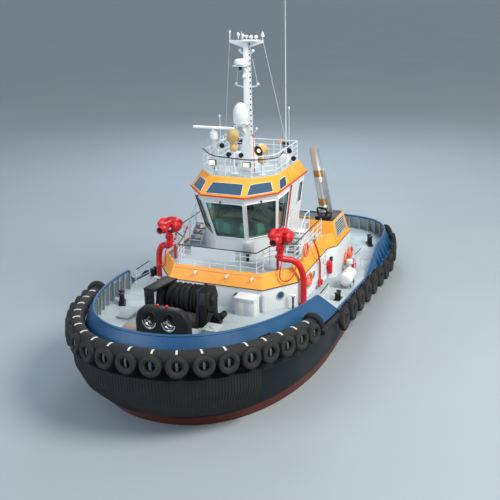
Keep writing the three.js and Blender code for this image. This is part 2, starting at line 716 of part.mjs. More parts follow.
/** The guard along the front and sides of the boat deck, led inside the monitors. */
function boatDeckRail() {
  const z = COAMING.top;
  const port = BOAT_RAIL.map((p) => ({ ...p, z }));
  const starboard = port.slice().reverse().map((p) => ({ ...p, y: -p.y }));
  const line = [...starboard, ...port];
  const front = along([starboard.at(-1), port[0]], 5);
  const sides = [port, starboard.slice().reverse()].flatMap((half) => along(half.slice(-2), 4));
  return guard(line, 960, [...front, ...sides]);
}

/** The guard round the wheelhouse roof, with the tall whip aerial. */
function roofRail() {
  const plan = insetPlan(ROOF, 60);
  const points = ringOf(plan, WHEELHOUSE.roof).map((p) => ({ x: p.x, y: p.y, z: p.z }));
  const line = [...points.slice(-3), ...points.slice(0, 3)];
  const whip = rod([WHIP.x, WHIP.y, WHIP.foot], [WHIP.x, WHIP.y, WHIP.top], 26, 6, 12);
  const posts = along([...line, line[0]], 12).slice(1);
  return join(guard(line, 950, posts, true), whip, box(WHIP.x - 40, WHIP.x + 40, 1800, WHIP.y + 30, 8750, 8850));
}

/** The mast on the wheelhouse roof, with its spreaders. */
function mast() {
  const { x, foot, waist, top } = MAST;
  return join(
    rod([x, 0, foot + GAP], [x, 0, waist], 330, 8, 150),
    rod([x, 0, waist - 20], [x, 0, top], 150, 8, 120),
    box(x - 60, x + 60, -830, 830, top - 120, top),
    box(x - 300, x + 420, -60, 60, 12900, 12980),
    box(x - 40, x + 40, -560, 560, 11560, 11640),
    rod([x, -780, top - 10], [x, -780, top + 420], 35, 8),
    rod([x, 780, top - 10], [x, 780, top + 420], 35, 8),
    box(x + 100, x + 760, -80, 80, 9960, 10060),
  );
}

/** The satellite dome on its bracket before the mast. */
function satelliteDome() {
  const { x, z, radius } = DOME;
  return turned([[0, 0], [radius * 0.7, 0], [radius, 260], [radius, 520], [radius * 0.8, 800],
    [radius * 0.45, 940], [0, 980]], [x, 0, z + GAP], [0, 0, 1], 16);
}

/** The pedestal that carries the radar. */
function radarPedestal() {
  const { x, y, z } = RADAR;
  return join(
    rod([x, y, WHEELHOUSE.roof + GAP], [x, y, z - 420], 75, 12),
    rod([x, y, z - 430], [x, y, z - 60], 190, 16),
  );
}

/** The bar scanner that turns on the radar's pedestal. */
function radarScanner() {
  const { x, y, z, length } = RADAR;
  return join(
    rod([x, y, z - 54], [x, y, z + 60], 90, 16),
    box(x - 95, x + 95, y - length / 2, y + length / 2, z + 40, z + 190),
  );
}

/** A flight of steps between two decks. */
function stairs(side) {
  const { x, foot, rise, width, y, steps, going, landed } = STAIRS;
  const parts = [];
  for (let i = 0; i < steps; i += 1) {
    const [x0, z1] = [x - i * going, foot + (i + 1) * rise];
    parts.push(box(x0 - going - 40, x0, y, y + width, z1 - 45, z1));
  }
  const length = steps * going;
  const stringer = (y0) => {
    const outline = new THREE.Shape([
      new THREE.Vector2(x, foot + GAP), new THREE.Vector2(x - 260, foot + GAP),
      new THREE.Vector2(x - length - 40, foot + steps * rise - 190),
      new THREE.Vector2(x - length - 40, foot + steps * rise), new THREE.Vector2(x, foot + rise)]);
    const shape = new THREE.ExtrudeGeometry(outline, { depth: 30, bevelEnabled: false });
    shape.rotateX(Math.PI / 2);
    shape.translate(0, y0 + 30, 0);
    return solid(shape);
  };
  const landing = box(x - length - landed, x - length + 20, SILL[1].y + GAP, y + width,
    foot + steps * rise - 45, foot + steps * rise);
  const whole = join(landing, ...parts, stringer(y - 20), stringer(y + width - 10));
  return side > 0 ? whole : mirrored(whole);
}

/** The towing staple at the bow, with its two lead holes. */
function towStaple() {
  const { x, y, half, depth, height, hole } = STAPLE;
  const foot = deckZ(x) - 40;
  const block = box(x - depth / 2, x + depth / 2, y - half, y + half, foot, foot + height);
  const bores = hole.map(({ at, wide, tall, up }) => {
    const round = new THREE.Shape().absellipse(0, 0, wide, tall, 0, 2 * Math.PI);
    const shape = new THREE.ExtrudeGeometry(round, { depth: 2 * depth, curveSegments: 8, bevelEnabled: false });
    shape.rotateX(Math.PI / 2);
    shape.rotateZ(Math.PI / 2);
    shape.translate(x - depth, y + at, foot + up);
    return solid(shape);
  });
  return bores.reduce((left, bore) => left.subtract(bore), block).subtract(hullCutter);
}

/** The winch bed: two cheeks, a bed plate and the sloped guard over the drum. */
function winchFrame() {
  const { x, y, z, half } = WINCH;
  const foot = deckZ(x) - 90;
  const cheek = (y0, y1) => {
    const outline = new THREE.Shape([
      new THREE.Vector2(x + 760, foot), new THREE.Vector2(x + 420, z + 560), new THREE.Vector2(x - 420, z + 560),
      new THREE.Vector2(x - 760, foot)]);
    const shape = new THREE.ExtrudeGeometry(outline, { depth: y1 - y0, bevelEnabled: false });
    shape.rotateX(Math.PI / 2);
    shape.translate(0, y1, 0);
    return solid(shape);
  };
  const bore = rod([x, y - half - 600, z], [x, y + half + 600, z], 96, 16);
  const cheeks = [cheek(y - half - 170, y - half - 20), cheek(y + half + 20, y + half + 170)];
  const bed = box(x - 740, x + 740, y - half - 165, y + half + 165, foot, foot + 190);
  return join(bed, ...cheeks).subtract(bore).subtract(hullCutter);
}

/** The winch drum with its flanges and shaft. */
function winchDrum() {
  const { x, y, z, radius, core, half } = WINCH;
  const disc = (at) => rod([x, y + at, z], [x, y + at + 36, z], radius, 16);
  return join(
    rod([x, y - half - 140, z], [x, y + half + 140, z], 84, 10),
    rod([x, y - half, z], [x, y + half, z], core, 12),
    disc(-half), disc(-50), disc(half - 36),
  );
}

/** The gear casing and motor at the winch's port end. */
function winchGear() {
  const { x, y, z, half } = WINCH;
  const side = y + half + 170 + GAP;
  const foot = deckZ(x) - 90;
  return join(
    rod([x, side, z + 60], [x, side + 330, z + 60], 520, 16),
    box(x - 400, x + 400, side, side + 330, foot, z),
    box(x - 250, x + 150, side + 320, side + 700, foot + 150, foot + 560),
  ).subtract(hullCutter);
}

/** A pair of bollards on a base plate. */
function bitts({ x, y, turn }) {
  const foot = deckZ(x) + 30;
  const posts = [-1, 1].map((side) => join(
    rod([side * 190, 0, 0], [side * 190, 0, 520], 105, 8),
    rod([side * 190, 0, 480], [side * 190, 0, 540], 135, 8),
  ));
  const whole = join(box(-380, 380, -160, 160, -200, 30), box(-330, 330, -40, 40, 250, 330), ...posts);
  return whole.rotate([0, 0, turn]).translate([x, y, foot]).subtract(hullCutter);
}

/** A liferaft canister in its cradle. */
function liferaft(side) {
  const { x, y, radius, length } = RAFT;
  const foot = deckZ(x);
  const z = foot + radius + 190;
  const whole = join(
    turned([[0, -length / 2], [radius * 0.8, -length / 2], [radius, -length / 2 + 90], [radius, length / 2 - 90],
      [radius * 0.8, length / 2], [0, length / 2]], [x, y, z], [1, 0, 0], 18),
    box(x - 330, x - 250, y - 240, y + 240, foot - 80, z - radius * 0.6),
    box(x + 250, x + 330, y - 240, y + 240, foot - 80, z - radius * 0.6),
  );
  return (side > 0 ? whole : mirrored(whole)).subtract(hullCutter);
}

/** The deck locker before the house. */
function locker() {
  const { x, y, depth, half, height } = LOCKER;
  const foot = deckZ(x) - 100;
  return join(
    box(x - depth / 2, x + depth / 2, y - half, y + half, foot, foot + height),
    box(x - depth / 2 - 30, x + depth / 2 + 30, y - half - 30, y + half + 30, foot + height - 60, foot + height),
  ).subtract(hullCutter);
}

/** The fire main: up from the deck beside the house and over to the monitor's pedestal. */
function fireMain(side) {
  const { x, y, z } = MONITOR;
  const foot = deckZ(2780);
  const route = [
    [2780, 3660, foot + 3], [2780, 3660, foot + 900], [2800, 3640, foot + 1500],
    [2960, 3420, 4420], [3160, 3080, 4560], [x, y + 40, 4640], [x, y, 4760], [x, y, z - 60],
  ];
  const whole = join(
    pipe(route, FIRE_MAIN.radius, 12, 8),
    rod([x, y, z - 120], [x, y, z - 8], 190, 12),
    rod([2780, 3660, foot + 1], [2780, 3660, foot + 50], 210, 12),
    box(x - 230, x - 90, y - 250, y - 110, BOAT_DECK.top + GAP, 4720),
    box(x - 230, x, y - 250, y, 4640, 4720),
  );
  return (side > 0 ? whole : mirrored(whole)).subtract(hullCutter);
}

/** The swivel of a fire monitor, with its side arms. */
function monitorYoke(side) {
  const { x, y, z } = MONITOR;
  const whole = join(
    rod([x, y, z], [x, y, z + 220], 150, 12),
    box(x - 150, x + 150, y - 200, y + 200, z + 150, z + 240),
    box(x - 90, x + 90, y - 230, y - 160, z + 160, z + 600),
    box(x - 90, x + 90, y + 160, y + 230, z + 160, z + 600),
  );
  return side > 0 ? whole : mirrored(whole);
}

/** The barrel of a fire monitor, which tips between the arms. */
function monitorBarrel(side) {
  const { x, y, z } = MONITOR;
  const h = z + MONITOR.pivot;
  const whole = join(
    rod([x, y - 150, h], [x, y + 150, h], 110, 12),
    rod([x - 190, y, h], [x + 420, y, h], 130, 12),
    rod([x + 400, y, h], [x + 900, y, h], 120, 12, 75),
    box(x - 190, x + 190, y - 100, y + 100, h, h + 170),
  );
  return side > 0 ? whole : mirrored(whole);
}

/** A steerable thruster: its stem, gear housing and nozzle ring. */
function thruster(side) {
  const { x, y, top, hub, nozzle, bore, length, ringAft, screwAft } = THRUSTER;
  const half = length / 2;
  const ring = turned([[bore, -half], [nozzle * 0.96, -half], [nozzle, -half * 0.5], [nozzle * 0.97, half],
    [bore * 1.03, half], [bore, -half]], [x - ringAft, y, hub], [-1, 0, 0], 18);
  const whole = join(
    rod([x, y, top + 40 - GAP], [x, y, top - 180], 620, 16),
    rod([x, y, top - 100], [x, y, hub], 300, 12, 230),
    rod([x - screwAft + 12, y, hub], [x + 620, y, hub], 280, 12, 200),
    box(x - 240, x + 60, y - 50, y + 50, hub + 100, hub + bore + 60),
    ring,
  );
  return side > 0 ? whole : mirrored(whole);
}

/** A propeller of four blades on its hub. */
function propeller(side) {
  const { x, y, hub, bore, screwAft } = THRUSTER;
  const at = x - screwAft;
  const boss = rod([at, y, hub], [at - 300, y, hub], 230, 12, 130);
  const blades = [0, 90, 180, 270].map((turn) => {
    const shape = new THREE.BoxGeometry(60, 620, bore - 200);
    shape.rotateZ(0.35 * side);
    shape.translate(0, 0, (bore - 200) / 2 + 150);
    return solid(shape).rotate([turn, 0, 0]).translate([at - 160, y, hub]);
  });
  const trim = rod([at + 10, y, hub], [at - 900, y, hub], bore - 40, 20);
  const slab = box(at - 900, at, y - 2000, y + 2000, hub - 2000, hub + 2000);
  const whole = join(boss, ...blades.map((blade) => blade.intersect(trim).intersect(slab)));
  return side > 0 ? whole : whole.translate([0, -2 * y, 0]);
}

/** The door in the back of the wheelhouse. */
function wheelhouseDoor() {
  const { low, high, foot, top } = DOORWAY;
  const { play, thick, proud } = DOOR;
  const face = SILL[2].x + proud;
  return box(face, face + thick, low + play, high - play, foot + play, top - play);
}

/** A weathertight door in one side of the deckhouse. */
function sideDoor(side) {
  const { aft, fore, foot, top } = SIDE_DOORWAY;
  const { play, thick, proud } = DOOR;
  const face = HOUSE[1].y - proud;
  const leaf = box(aft + play, fore - play, face - thick, face, foot + play, top - play);
  return side > 0 ? leaf : mirrored(leaf);
}

/** The lid of the foredeck hatch. */
function hatchLid() {
  const { x, y, half, height } = HATCH;
  const foot = deckZ(x + half);
  return join(
    box(x - half, x + half, y - half, y + half, foot + height + 6, foot + height + 60),
    box(x - 120, x + 120, y - 60, y + 60, foot + height + 55, foot + height + 110),
  );
}

/** The coaming round the foredeck hatch. */
function hatchCoaming() {
  const { x, y, half, height } = HATCH;
  const foot = deckZ(x - half) - 100;
  const top = deckZ(x + half) + height;
  return box(x - half + 30, x + half - 30, y - half + 30, y + half - 30, foot, top)
    .subtract(box(x - half + 60, x + half - 60, y - half + 60, y + half - 60, foot - 50, top + 50))
    .subtract(hullCutter);
}

const exportGroup = new THREE.Group();

/** Adds a named piece in one finish. */
function add(name, piece, [color, roughness, metalness]) {
  const { vertProperties, triVerts, numProp } = piece.getMesh();
  const geometry = new THREE.BufferGeometry();
  const points = new Float32Array((vertProperties.length / numProp) * 3);
  for (let i = 0; i < points.length / 3; i += 1) {
    for (let k = 0; k < 3; k += 1) points[3 * i + k] = vertProperties[numProp * i + k];
  }
  geometry.setAttribute("position", new THREE.BufferAttribute(points, 3));
  geometry.setIndex(new THREE.BufferAttribute(new Uint32Array(triVerts), 1));
  geometry.computeVertexNormals();
  const mesh = new THREE.Mesh(geometry, new THREE.MeshStandardMaterial({ color, roughness, metalness }));
  mesh.name = name;
  exportGroup.add(mesh);
}

// Finishes: colour, roughness, metalness
const NAVY = [0x1b2a38, 0.5, 0];
const BLUE = [0x1f5f93, 0.45, 0];
const RUBBER = [0x2d3033, 0.9, 0];
const WHITE = [0xe8ebee, 0.5, 0];
const YELLOW = [0xf6a833, 0.5, 0];
const RED = [0xc8202c, 0.4, 0];
const DARK = [0x1d2023, 0.55, 0.1];
const STEEL = [0xb8bcc0, 0.2, 1];
const BRONZE = [0xa8834a, 0.35, 1];
const GLASS = [0x8fb5a8, 0.05, 0];

add("hull", hull(), NAVY);
add("bulwark_fore", foreBulwark(), BLUE);
add("bulwark_aft", aftBulwark(), BLUE);
add("bow_fender", bowFender(), RUBBER);
add("bow_fender_block", bowBlock(), RUBBER);
add("side_fender_port", sideFender(1), RUBBER);
add("side_fender_starboard", sideFender(-1), RUBBER);
add("stern_fender", sternFender(), RUBBER);
add("boat_deck", boatDeck(), YELLOW);

const house = houseWall();
add("deckhouse_front", wallPart(house, 2900 + GAP, 6000), WHITE);
add("deckhouse_port", wallPart(house, -4800, 2900, 1), WHITE);
add("deckhouse_starboard", wallPart(house, -4800, 2900, -1), WHITE);
add("deckhouse_back", wallPart(house, -6000, -4800 - GAP), WHITE);
const cabin = wheelhouseWall();
add("wheelhouse_front", wallPart(cabin, 1000 + GAP, 6000), WHITE);
add("wheelhouse_port", wallPart(cabin, -1960, 1000, 1), WHITE);
add("wheelhouse_starboard", wallPart(cabin, -1960, 1000, -1), WHITE);
add("wheelhouse_back", wallPart(cabin, -6000, -1960 - GAP), WHITE);
add("wheelhouse_door", wheelhouseDoor(), WHITE);
add("wheelhouse_roof", wheelhouseRoof(), YELLOW);
add("wheelhouse_glass", wheelhouseGlass(), GLASS);
add("console", wheelConsole(), DARK);
add("helm_chair", helmChair(), DARK);
for (const [name, side] of [["port", 1], ["starboard", -1]]) {
  add(`deckhouse_door_${name}`, sideDoor(side), WHITE);
  add(`funnel_${name}`, funnel(side), YELLOW);
  add(`exhaust_${name}`, exhaust(side), STEEL);
  add(`stairs_${name}`, stairs(side), WHITE);
  add(`liferaft_${name}`, liferaft(side), WHITE);
  add(`fire_main_${name}`, fireMain(side), RED);
  add(`monitor_${name}`, monitorYoke(side), RED);
  add(`monitor_barrel_${name}`, monitorBarrel(side), RED);
  add(`thruster_${name}`, thruster(side), DARK);
  add(`propeller_${name}`, propeller(side), BRONZE);
}
add("mast", mast(), WHITE);
add("satellite_dome", satelliteDome(), WHITE);
add("radar_pedestal", radarPedestal(), WHITE);
add("radar_scanner", radarScanner(), WHITE);
add("boat_deck_rail", boatDeckRail(), WHITE);
add("roof_rail", roofRail(), WHITE);
add("tow_staple", towStaple(), DARK);
add("winch_frame", winchFrame(), DARK);
add("winch_drum", winchDrum(), DARK);
add("winch_gear", winchGear(), DARK);
for (const place of BITTS) add(place.name, bitts(place), DARK);
add("locker", locker(), WHITE);
add("hatch_coaming", hatchCoaming(), WHITE);
add("hatch_lid", hatchLid(), WHITE);

export default exportGroup;
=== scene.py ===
"""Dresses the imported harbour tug: smooth hull and fenders, painted houses, deck and mast gear, and a plain studio."""

import json
import logging
import math
from collections.abc import Callable, Sequence
from dataclasses import dataclass
from enum import Enum

import bmesh
import bpy
from mathutils import Matrix, Vector

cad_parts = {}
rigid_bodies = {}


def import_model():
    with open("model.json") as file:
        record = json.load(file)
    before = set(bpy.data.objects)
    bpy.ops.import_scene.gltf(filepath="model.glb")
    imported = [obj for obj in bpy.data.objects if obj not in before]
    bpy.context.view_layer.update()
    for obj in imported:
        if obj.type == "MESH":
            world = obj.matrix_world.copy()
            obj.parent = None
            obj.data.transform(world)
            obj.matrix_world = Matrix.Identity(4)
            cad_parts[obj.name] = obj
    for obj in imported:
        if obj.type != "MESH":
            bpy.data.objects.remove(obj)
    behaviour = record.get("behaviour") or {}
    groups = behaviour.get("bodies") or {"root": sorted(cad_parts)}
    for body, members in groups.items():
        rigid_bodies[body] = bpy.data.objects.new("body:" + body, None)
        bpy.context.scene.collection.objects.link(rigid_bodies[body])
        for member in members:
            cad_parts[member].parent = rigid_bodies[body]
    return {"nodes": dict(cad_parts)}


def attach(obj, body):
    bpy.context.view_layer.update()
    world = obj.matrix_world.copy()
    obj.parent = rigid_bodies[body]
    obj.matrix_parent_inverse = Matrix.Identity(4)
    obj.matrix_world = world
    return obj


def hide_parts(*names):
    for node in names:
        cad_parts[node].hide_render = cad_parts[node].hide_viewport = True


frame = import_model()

logging.basicConfig(level=logging.INFO, format="%(message)s")
log = logging.getLogger("tug")

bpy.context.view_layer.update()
SHARP = math.radians(40)  # edges sharper than this are bevelled
FLAT = math.radians(0.6)  # triangles closer to one plane than this are one face
SAME_CORNER = 1e-4  # corners nearer than this in metres are one
UP = (0, 0, 1)
ABEAM = (0, 1, 0)

Pair = tuple[float, float]
Point = tuple[float, float, float]


class Side(Enum):
    """A side of the boat."""

    PORT = 1
    STARBOARD = -1

    @property
    def sign(self) -> int:
        """Gives 1 to port and -1 to starboard."""
        return self.value

    @property
    def label(self) -> str:
        """Gives the side's name, as the pieces carry it."""
        return self.name.lower()


def circle(count: int, radius: float = 1.0) -> list[Pair]:
    """Gives points spaced evenly round a circle."""
    angles = [math.tau * k / count for k in range(count)]
    return [(radius * math.cos(a), radius * math.sin(a)) for a in angles]


def across_boat(port: Sequence[Pair]) -> list[Pair]:
    """Gives a line of port places with its mirror image before it, from starboard to port."""
    return [(x, -y) for x, y in port[::-1]] + list(port)


# ---- finishes


def linear(colour: str) -> tuple[float, float, float, float]:
    """Turns an sRGB hex colour to linear light.

    Args:
        colour: The colour as "#rrggbb".

    Returns:
        Linear red, green and blue, with an alpha of 1.
    """
    parts = [int(colour[i : i + 2], 16) / 255 for i in (1, 3, 5)]
    red, green, blue = (c / 12.92 if c <= 0.04045 else ((c + 0.055) / 1.055) ** 2.4 for c in parts)
    return red, green, blue, 1.0


def add_node(
    tree: bpy.types.NodeTree, kind: str, settings: dict | None = None, **links: bpy.types.NodeSocket
) -> bpy.types.Node:
    """Adds a node with its settings and links.

    Args:
        tree: The material's node tree.
        kind: The node's type.
        settings: Input names, input numbers or properties, with their values.
        links: Input names, with the sockets that feed them.

    Returns:
        The new node.
    """
    node = tree.nodes.new(kind)
    feed(tree, node, settings, **links)
    return node


def feed(
    tree: bpy.types.NodeTree, node: bpy.types.Node, settings: dict | None = None, **links: bpy.types.NodeSocket
) -> None:
    """Sets a node's values and links its inputs.

    Args:
        tree: The material's node tree.
        node: The node.
        settings: Input names, input numbers or properties, with their values.
        links: Input names, with the sockets that feed them.
    """
    for name, value in (settings or {}).items():
        if isinstance(name, int) or name in node.inputs:
            node.inputs[name].default_value = value
        else:
            setattr(node, name, value)
    for name, socket in links.items():
        tree.links.new(socket, node.inputs[name.replace("_", " ")])


def blank_material(name: str) -> tuple[bpy.types.Material, bpy.types.NodeTree, bpy.types.Node]:
    """Makes a material that holds only a Principled shader.

    Args:
        name: The material's name.

    Returns:
        The material, its tree and the shader.
    """
    material = bpy.data.materials.new(name)
    material.use_nodes = True
    return material, material.node_tree, material.node_tree.nodes["Principled BSDF"]


@dataclass(frozen=True)
class Finish:
    """A surface finish. Its material is made the first time that a piece takes it."""

    name: str
    slot: str
    colour: str
    roughness: float = 0.45

    def material(self) -> bpy.types.Material:
        """Gives the finish's material."""
        return bpy.data.materials.get(self.name) or self.build()

    def build(self) -> bpy.types.Material:
        """Makes the material.

        Returns:
            The new material.
        """
        material, tree, shader = blank_material(self.name)
        feed(tree, shader, {"Base Color": linear(self.colour), "Roughness": self.roughness})
        return material


@dataclass(frozen=True)
class MarinePaint(Finish):
    """Rolled alkyd on steel plate: a satin film with broad faded patches, and soft runs of dirt below fittings."""

    shade: str = "#c9ced1"
    dirt: str = "#8b8173"
    patch: float = 1.1
    fading: float = 0.5
    runs: float = 0.3
    run_scale: Point = (7.0, 7.0, 0.55)
    grain_mm: float = 14.0
    relief: float = 0.12
    below: str | None = None
    line: float = 0.0
    ior: float = 1.5

    def build(self) -> bpy.types.Material:
        """Makes the paint: patches, runs of dirt, and a boot line where one is named.

        Returns:
            The new material.
        """
        material, tree, shader = blank_material(self.name)
        place = add_node(tree, "ShaderNodeTexCoord").outputs["Object"]
        cloud = {"Scale": 1 / self.patch, "Detail": 5.0}
        patches = add_node(tree, "ShaderNodeTexNoise", cloud, Vector=place).outputs[0]
        faded = {"From Min": 0.38, "From Max": 0.7, "To Max": self.fading}
        tone = add_node(tree, "ShaderNodeMapRange", faded, Value=patches)
        tones = {"Color1": linear(self.colour), "Color2": linear(self.shade)}
        colour = add_node(tree, "ShaderNodeMixRGB", tones, Fac=tone.outputs[0]).outputs[0]
        if self.below:
            height = add_node(tree, "ShaderNodeSeparateXYZ", Vector=place).outputs["Z"]
            wavy = add_node(tree, "ShaderNodeMath", {"operation": "MULTIPLY_ADD", 1: 0.05}, Value=patches)
            tree.links.new(height, wavy.inputs[2])
            boot = {"From Min": self.line + 0.05, "From Max": self.line + 0.02}
            under = add_node(tree, "ShaderNodeMapRange", boot, Value=wavy.outputs[0])
            bottom = {"Color2": linear(self.below)}
            colour = add_node(tree, "ShaderNodeMixRGB", bottom, Fac=under.outputs[0], Color1=colour).outputs[0]
        stretched = add_node(tree, "ShaderNodeMapping", {"Scale": self.run_scale}, Vector=place).outputs[0]
        runs = add_node(tree, "ShaderNodeTexNoise", {"Scale": 1.0, "Detail": 4.0, "Roughness": 0.65}, Vector=stretched)
        washed = {"From Min": 0.54, "From Max": 0.78, "To Max": self.runs}
        dirty = add_node(tree, "ShaderNodeMapRange", washed, Value=runs.outputs[0])
        stain = {"Color2": linear(self.dirt)}
        colour = add_node(tree, "ShaderNodeMixRGB", stain, Fac=dirty.outputs[0], Color1=colour).outputs[0]
        dulled = {"From Min": 0.3, "From Max": 0.7, "To Min": self.roughness - 0.08, "To Max": self.roughness + 0.14}
        film = add_node(tree, "ShaderNodeMapRange", dulled, Value=patches)
        grain = add_node(tree, "ShaderNodeTexNoise", {"Scale": 1000 / self.grain_mm, "Detail": 2.0}, Vector=place)
        raised = {"Strength": self.relief, "Distance": 0.004}
        bump = add_node(tree, "ShaderNodeBump", raised, Height=grain.outputs[0])
        feed(tree, shader, {"IOR": self.ior}, Base_Color=colour, Roughness=film.outputs[0], Normal=bump.outputs[0])
        return material


@dataclass(frozen=True)
class WornRubber(Finish):
    """Vulcanised rubber that has lain in salt and sun: near black, matt, with grey scuffs where it rubs."""

    scuff: str = "#55544f"
    patch: float = 0.35
    share: float = 0.55

    def build(self) -> bpy.types.Material:
        """Makes the rubber.

        Returns:
            The new material.
        """
        material, tree, shader = blank_material(self.name)
        place = add_node(tree, "ShaderNodeTexCoord").outputs["Object"]
        scuffs = {"Scale": 1 / self.patch, "Detail": 6.0, "Roughness": 0.7}
        wear = add_node(tree, "ShaderNodeTexNoise", scuffs, Vector=place)
        rubbed = {"From Min": 0.45, "From Max": 0.75, "To Max": self.share}
        share = add_node(tree, "ShaderNodeMapRange", rubbed, Value=wear.outputs[0])
        tones = {"Color1": linear(self.colour), "Color2": linear(self.scuff)}
        colour = add_node(tree, "ShaderNodeMixRGB", tones, Fac=share.outputs[0])
        pits = add_node(tree, "ShaderNodeTexNoise", {"Scale": 60.0, "Detail": 4.0}, Vector=place)
        bump = add_node(tree, "ShaderNodeBump", {"Strength": 0.5, "Distance": 0.006}, Height=pits.outputs[0])
        surface = {"Roughness": self.roughness}
        feed(tree, shader, surface, Base_Color=colour.outputs[0], Normal=bump.outputs[0])
        return material


@dataclass(frozen=True)
class PolishedSteel(Finish):
    """Stainless tube, belt polished along its length, with straw to brown bands where it has run hot."""

    bands: tuple[tuple[float, str], ...] = ()
    metallic: float = 1.0

    def build(self) -> bpy.types.Material:
        """Makes the steel, with heat bands by height where they are named.

        Returns:
            The new material.
        """
        material, tree, shader = blank_material(self.name)
        place = add_node(tree, "ShaderNodeTexCoord").outputs["Object"]
        stretched = add_node(tree, "ShaderNodeMapping", {"Scale": (40.0, 40.0, 2.0)}, Vector=place).outputs[0]
        lines = add_node(tree, "ShaderNodeTexNoise", {"Scale": 2.0, "Detail": 3.0}, Vector=stretched)
        polish = {"To Min": self.roughness - 0.06, "To Max": self.roughness + 0.1}
        film = add_node(tree, "ShaderNodeMapRange", polish, Value=lines.outputs[0])
        surface = {"Metallic": self.metallic, "Base Color": linear(self.colour)}
        feed(tree, shader, surface, Roughness=film.outputs[0])
        if self.bands:
            low, high = self.bands[0][0], self.bands[-1][0]
            height = add_node(tree, "ShaderNodeSeparateXYZ", Vector=place).outputs["Z"]
            share = add_node(tree, "ShaderNodeMapRange", {"From Min": low, "From Max": high}, Value=height)
            ramp = add_node(tree, "ShaderNodeValToRGB", Fac=share.outputs[0])
            stops = ramp.color_ramp.elements
            while len(stops) < len(self.bands):
                stops.new(0.5)
            for stop, (at, colour) in zip(stops, self.bands):
                stop.position = (at - low) / (high - low)
                stop.color = linear(colour)
            feed(tree, shader, Base_Color=ramp.outputs[0])
        return material


@dataclass(frozen=True)
class WindowGlass(Finish):
    """Laminated solar glass: a green tint in the body and a clean polished face."""

    seen_through: float = 1.0
    ior: float = 1.5

    def build(self) -> bpy.types.Material:
        """Makes the glass.

        Returns:
            The new material.
        """
        material, tree, shader = blank_material(self.name)
        place = add_node(tree, "ShaderNodeTexCoord").outputs["Object"]
        smears = add_node(tree, "ShaderNodeTexNoise", {"Scale": 2.5, "Detail": 4.0}, Vector=place)
        clean = {"From Min": 0.4, "To Min": 0.02, "To Max": self.roughness}
        film = add_node(tree, "ShaderNodeMapRange", clean, Value=smears.outputs[0])
        body = {"Base Color": linear(self.colour), "Transmission Weight": self.seen_through, "IOR": self.ior}
        feed(tree, shader, body, Roughness=film.outputs[0])
        return material


@dataclass(frozen=True)
class LitLens(Finish):
    """A ribbed lamp glass that glows evenly, for a lit lamp and for a painted highlight on daylit glass."""

    glow: float = 1.0

    def build(self) -> bpy.types.Material:
        """Makes the lens.

        Returns:
            The new material.
        """
        material, tree, shader = blank_material(self.name)
        place = add_node(tree, "ShaderNodeTexCoord").outputs["Object"]
        ribs = add_node(tree, "ShaderNodeTexWave", {"Scale": 20.0, "bands_direction": "Y"}, Vector=place)
        bump = add_node(tree, "ShaderNodeBump", {"Strength": 0.4, "Distance": 0.003}, Height=ribs.outputs[0])
        tone = linear(self.colour)
        lit = {"Base Color": tone, "Roughness": self.roughness, "Emission Color": tone, "Emission Strength": self.glow}
        feed(tree, shader, lit, Normal=bump.outputs[0])
        return material


# Topsides: near black with a blue cast, and a broad dull sheen; faded red brown below the boot line.
HULL = MarinePaint(
    "hull two pack epoxy", "hull_paint", "#0a131b", 0.46, shade="#10222f", dirt="#333f45", patch=2.2, runs=0.16,
    run_scale=(2.2, 2.2, 0.3), relief=0.2, grain_mm=30, below="#5a2a26", line=0.42, ior=1.33,
)
# Sand in the paint: the deck reads as a chalky pale grey with no shine, scuffed darker where feet and ropes go.
DECK = MarinePaint(
    "deck non slip paint", "grey_paint", "#aab9c1", 0.62, shade="#90a0a9", dirt="#7d7f78", patch=1.7, fading=0.75,
    run_scale=(1.6, 1.6, 1.6), relief=0.5, grain_mm=9,
)
# The bulwark's inner face: a grimy grey, with the runs of rain and rust that the outer face lacks.
INNER = MarinePaint(
    "bulwark inner alkyd", "grey_paint", "#9fadb3", 0.5, shade="#7e8d95", dirt="#6d675e", patch=1.0, fading=0.7,
    runs=0.45,
)
# A deep signal blue, satin, that turns lighter in faded patches.
BLUE = MarinePaint(
    "bulwark blue alkyd", "blue_paint", "#134873", 0.4, shade="#1b5683", dirt="#12385a", patch=1.4, fading=0.55,
    runs=0.28,
)
# House white: cool and satin, a little yellowed below fittings.
WHITE = MarinePaint(
    "house white alkyd", "white_paint", "#dde2e6", 0.42, shade="#d0d8dd", dirt="#b9b3a4", patch=1.3, fading=0.6,
    runs=0.24,
)
# The warm orange yellow of the coaming, the roof and the casings, with brown runs.
YELLOW = MarinePaint(
    "band yellow alkyd", "yellow_paint", "#f6a02c", 0.42, shade="#f4aa45", dirt="#b8741f", patch=0.9, fading=0.6,
    runs=0.22,
)
# A thin brick red line along the visor.
TRIM = MarinePaint(
    "visor edge alkyd", "red_paint", "#bf2413", 0.4, shade="#cc3a18", dirt="#8e2f17", patch=0.6, fading=0.4, runs=0.1,
)
# Fire red with a hard gloss, so that pipes and monitors carry bright highlights.
RED = MarinePaint(
    "fire gear red enamel", "red_paint", "#cb1822", 0.34, shade="#b0131d", dirt="#7c0f16", patch=0.5, fading=0.6,
    runs=0.22,
)
# Soft orange cloth over foam, matt and sun bleached.
ORANGE = MarinePaint(
    "lifebuoy orange cover", "red_paint", "#ee5a24", 0.55, shade="#f0753c", dirt="#b84b22", patch=0.2, runs=0.2,
)
# Machinery black with a film of grease: dark, but grey where it is worn.
BLACK = MarinePaint(
    "deck machinery black", "black_paint", "#0a0c0f", 0.5, shade="#14181c", dirt="#2c2925", patch=0.6, fading=0.7,
    runs=0.25, ior=1.4,
)
# The searchlights' cast housings in dull sand and bronze tones.
TAN = MarinePaint(
    "searchlight cast bronze paint", "dome_plastic", "#c3a86f", 0.45, shade="#a98f58", dirt="#8b6b34", patch=0.3,
)
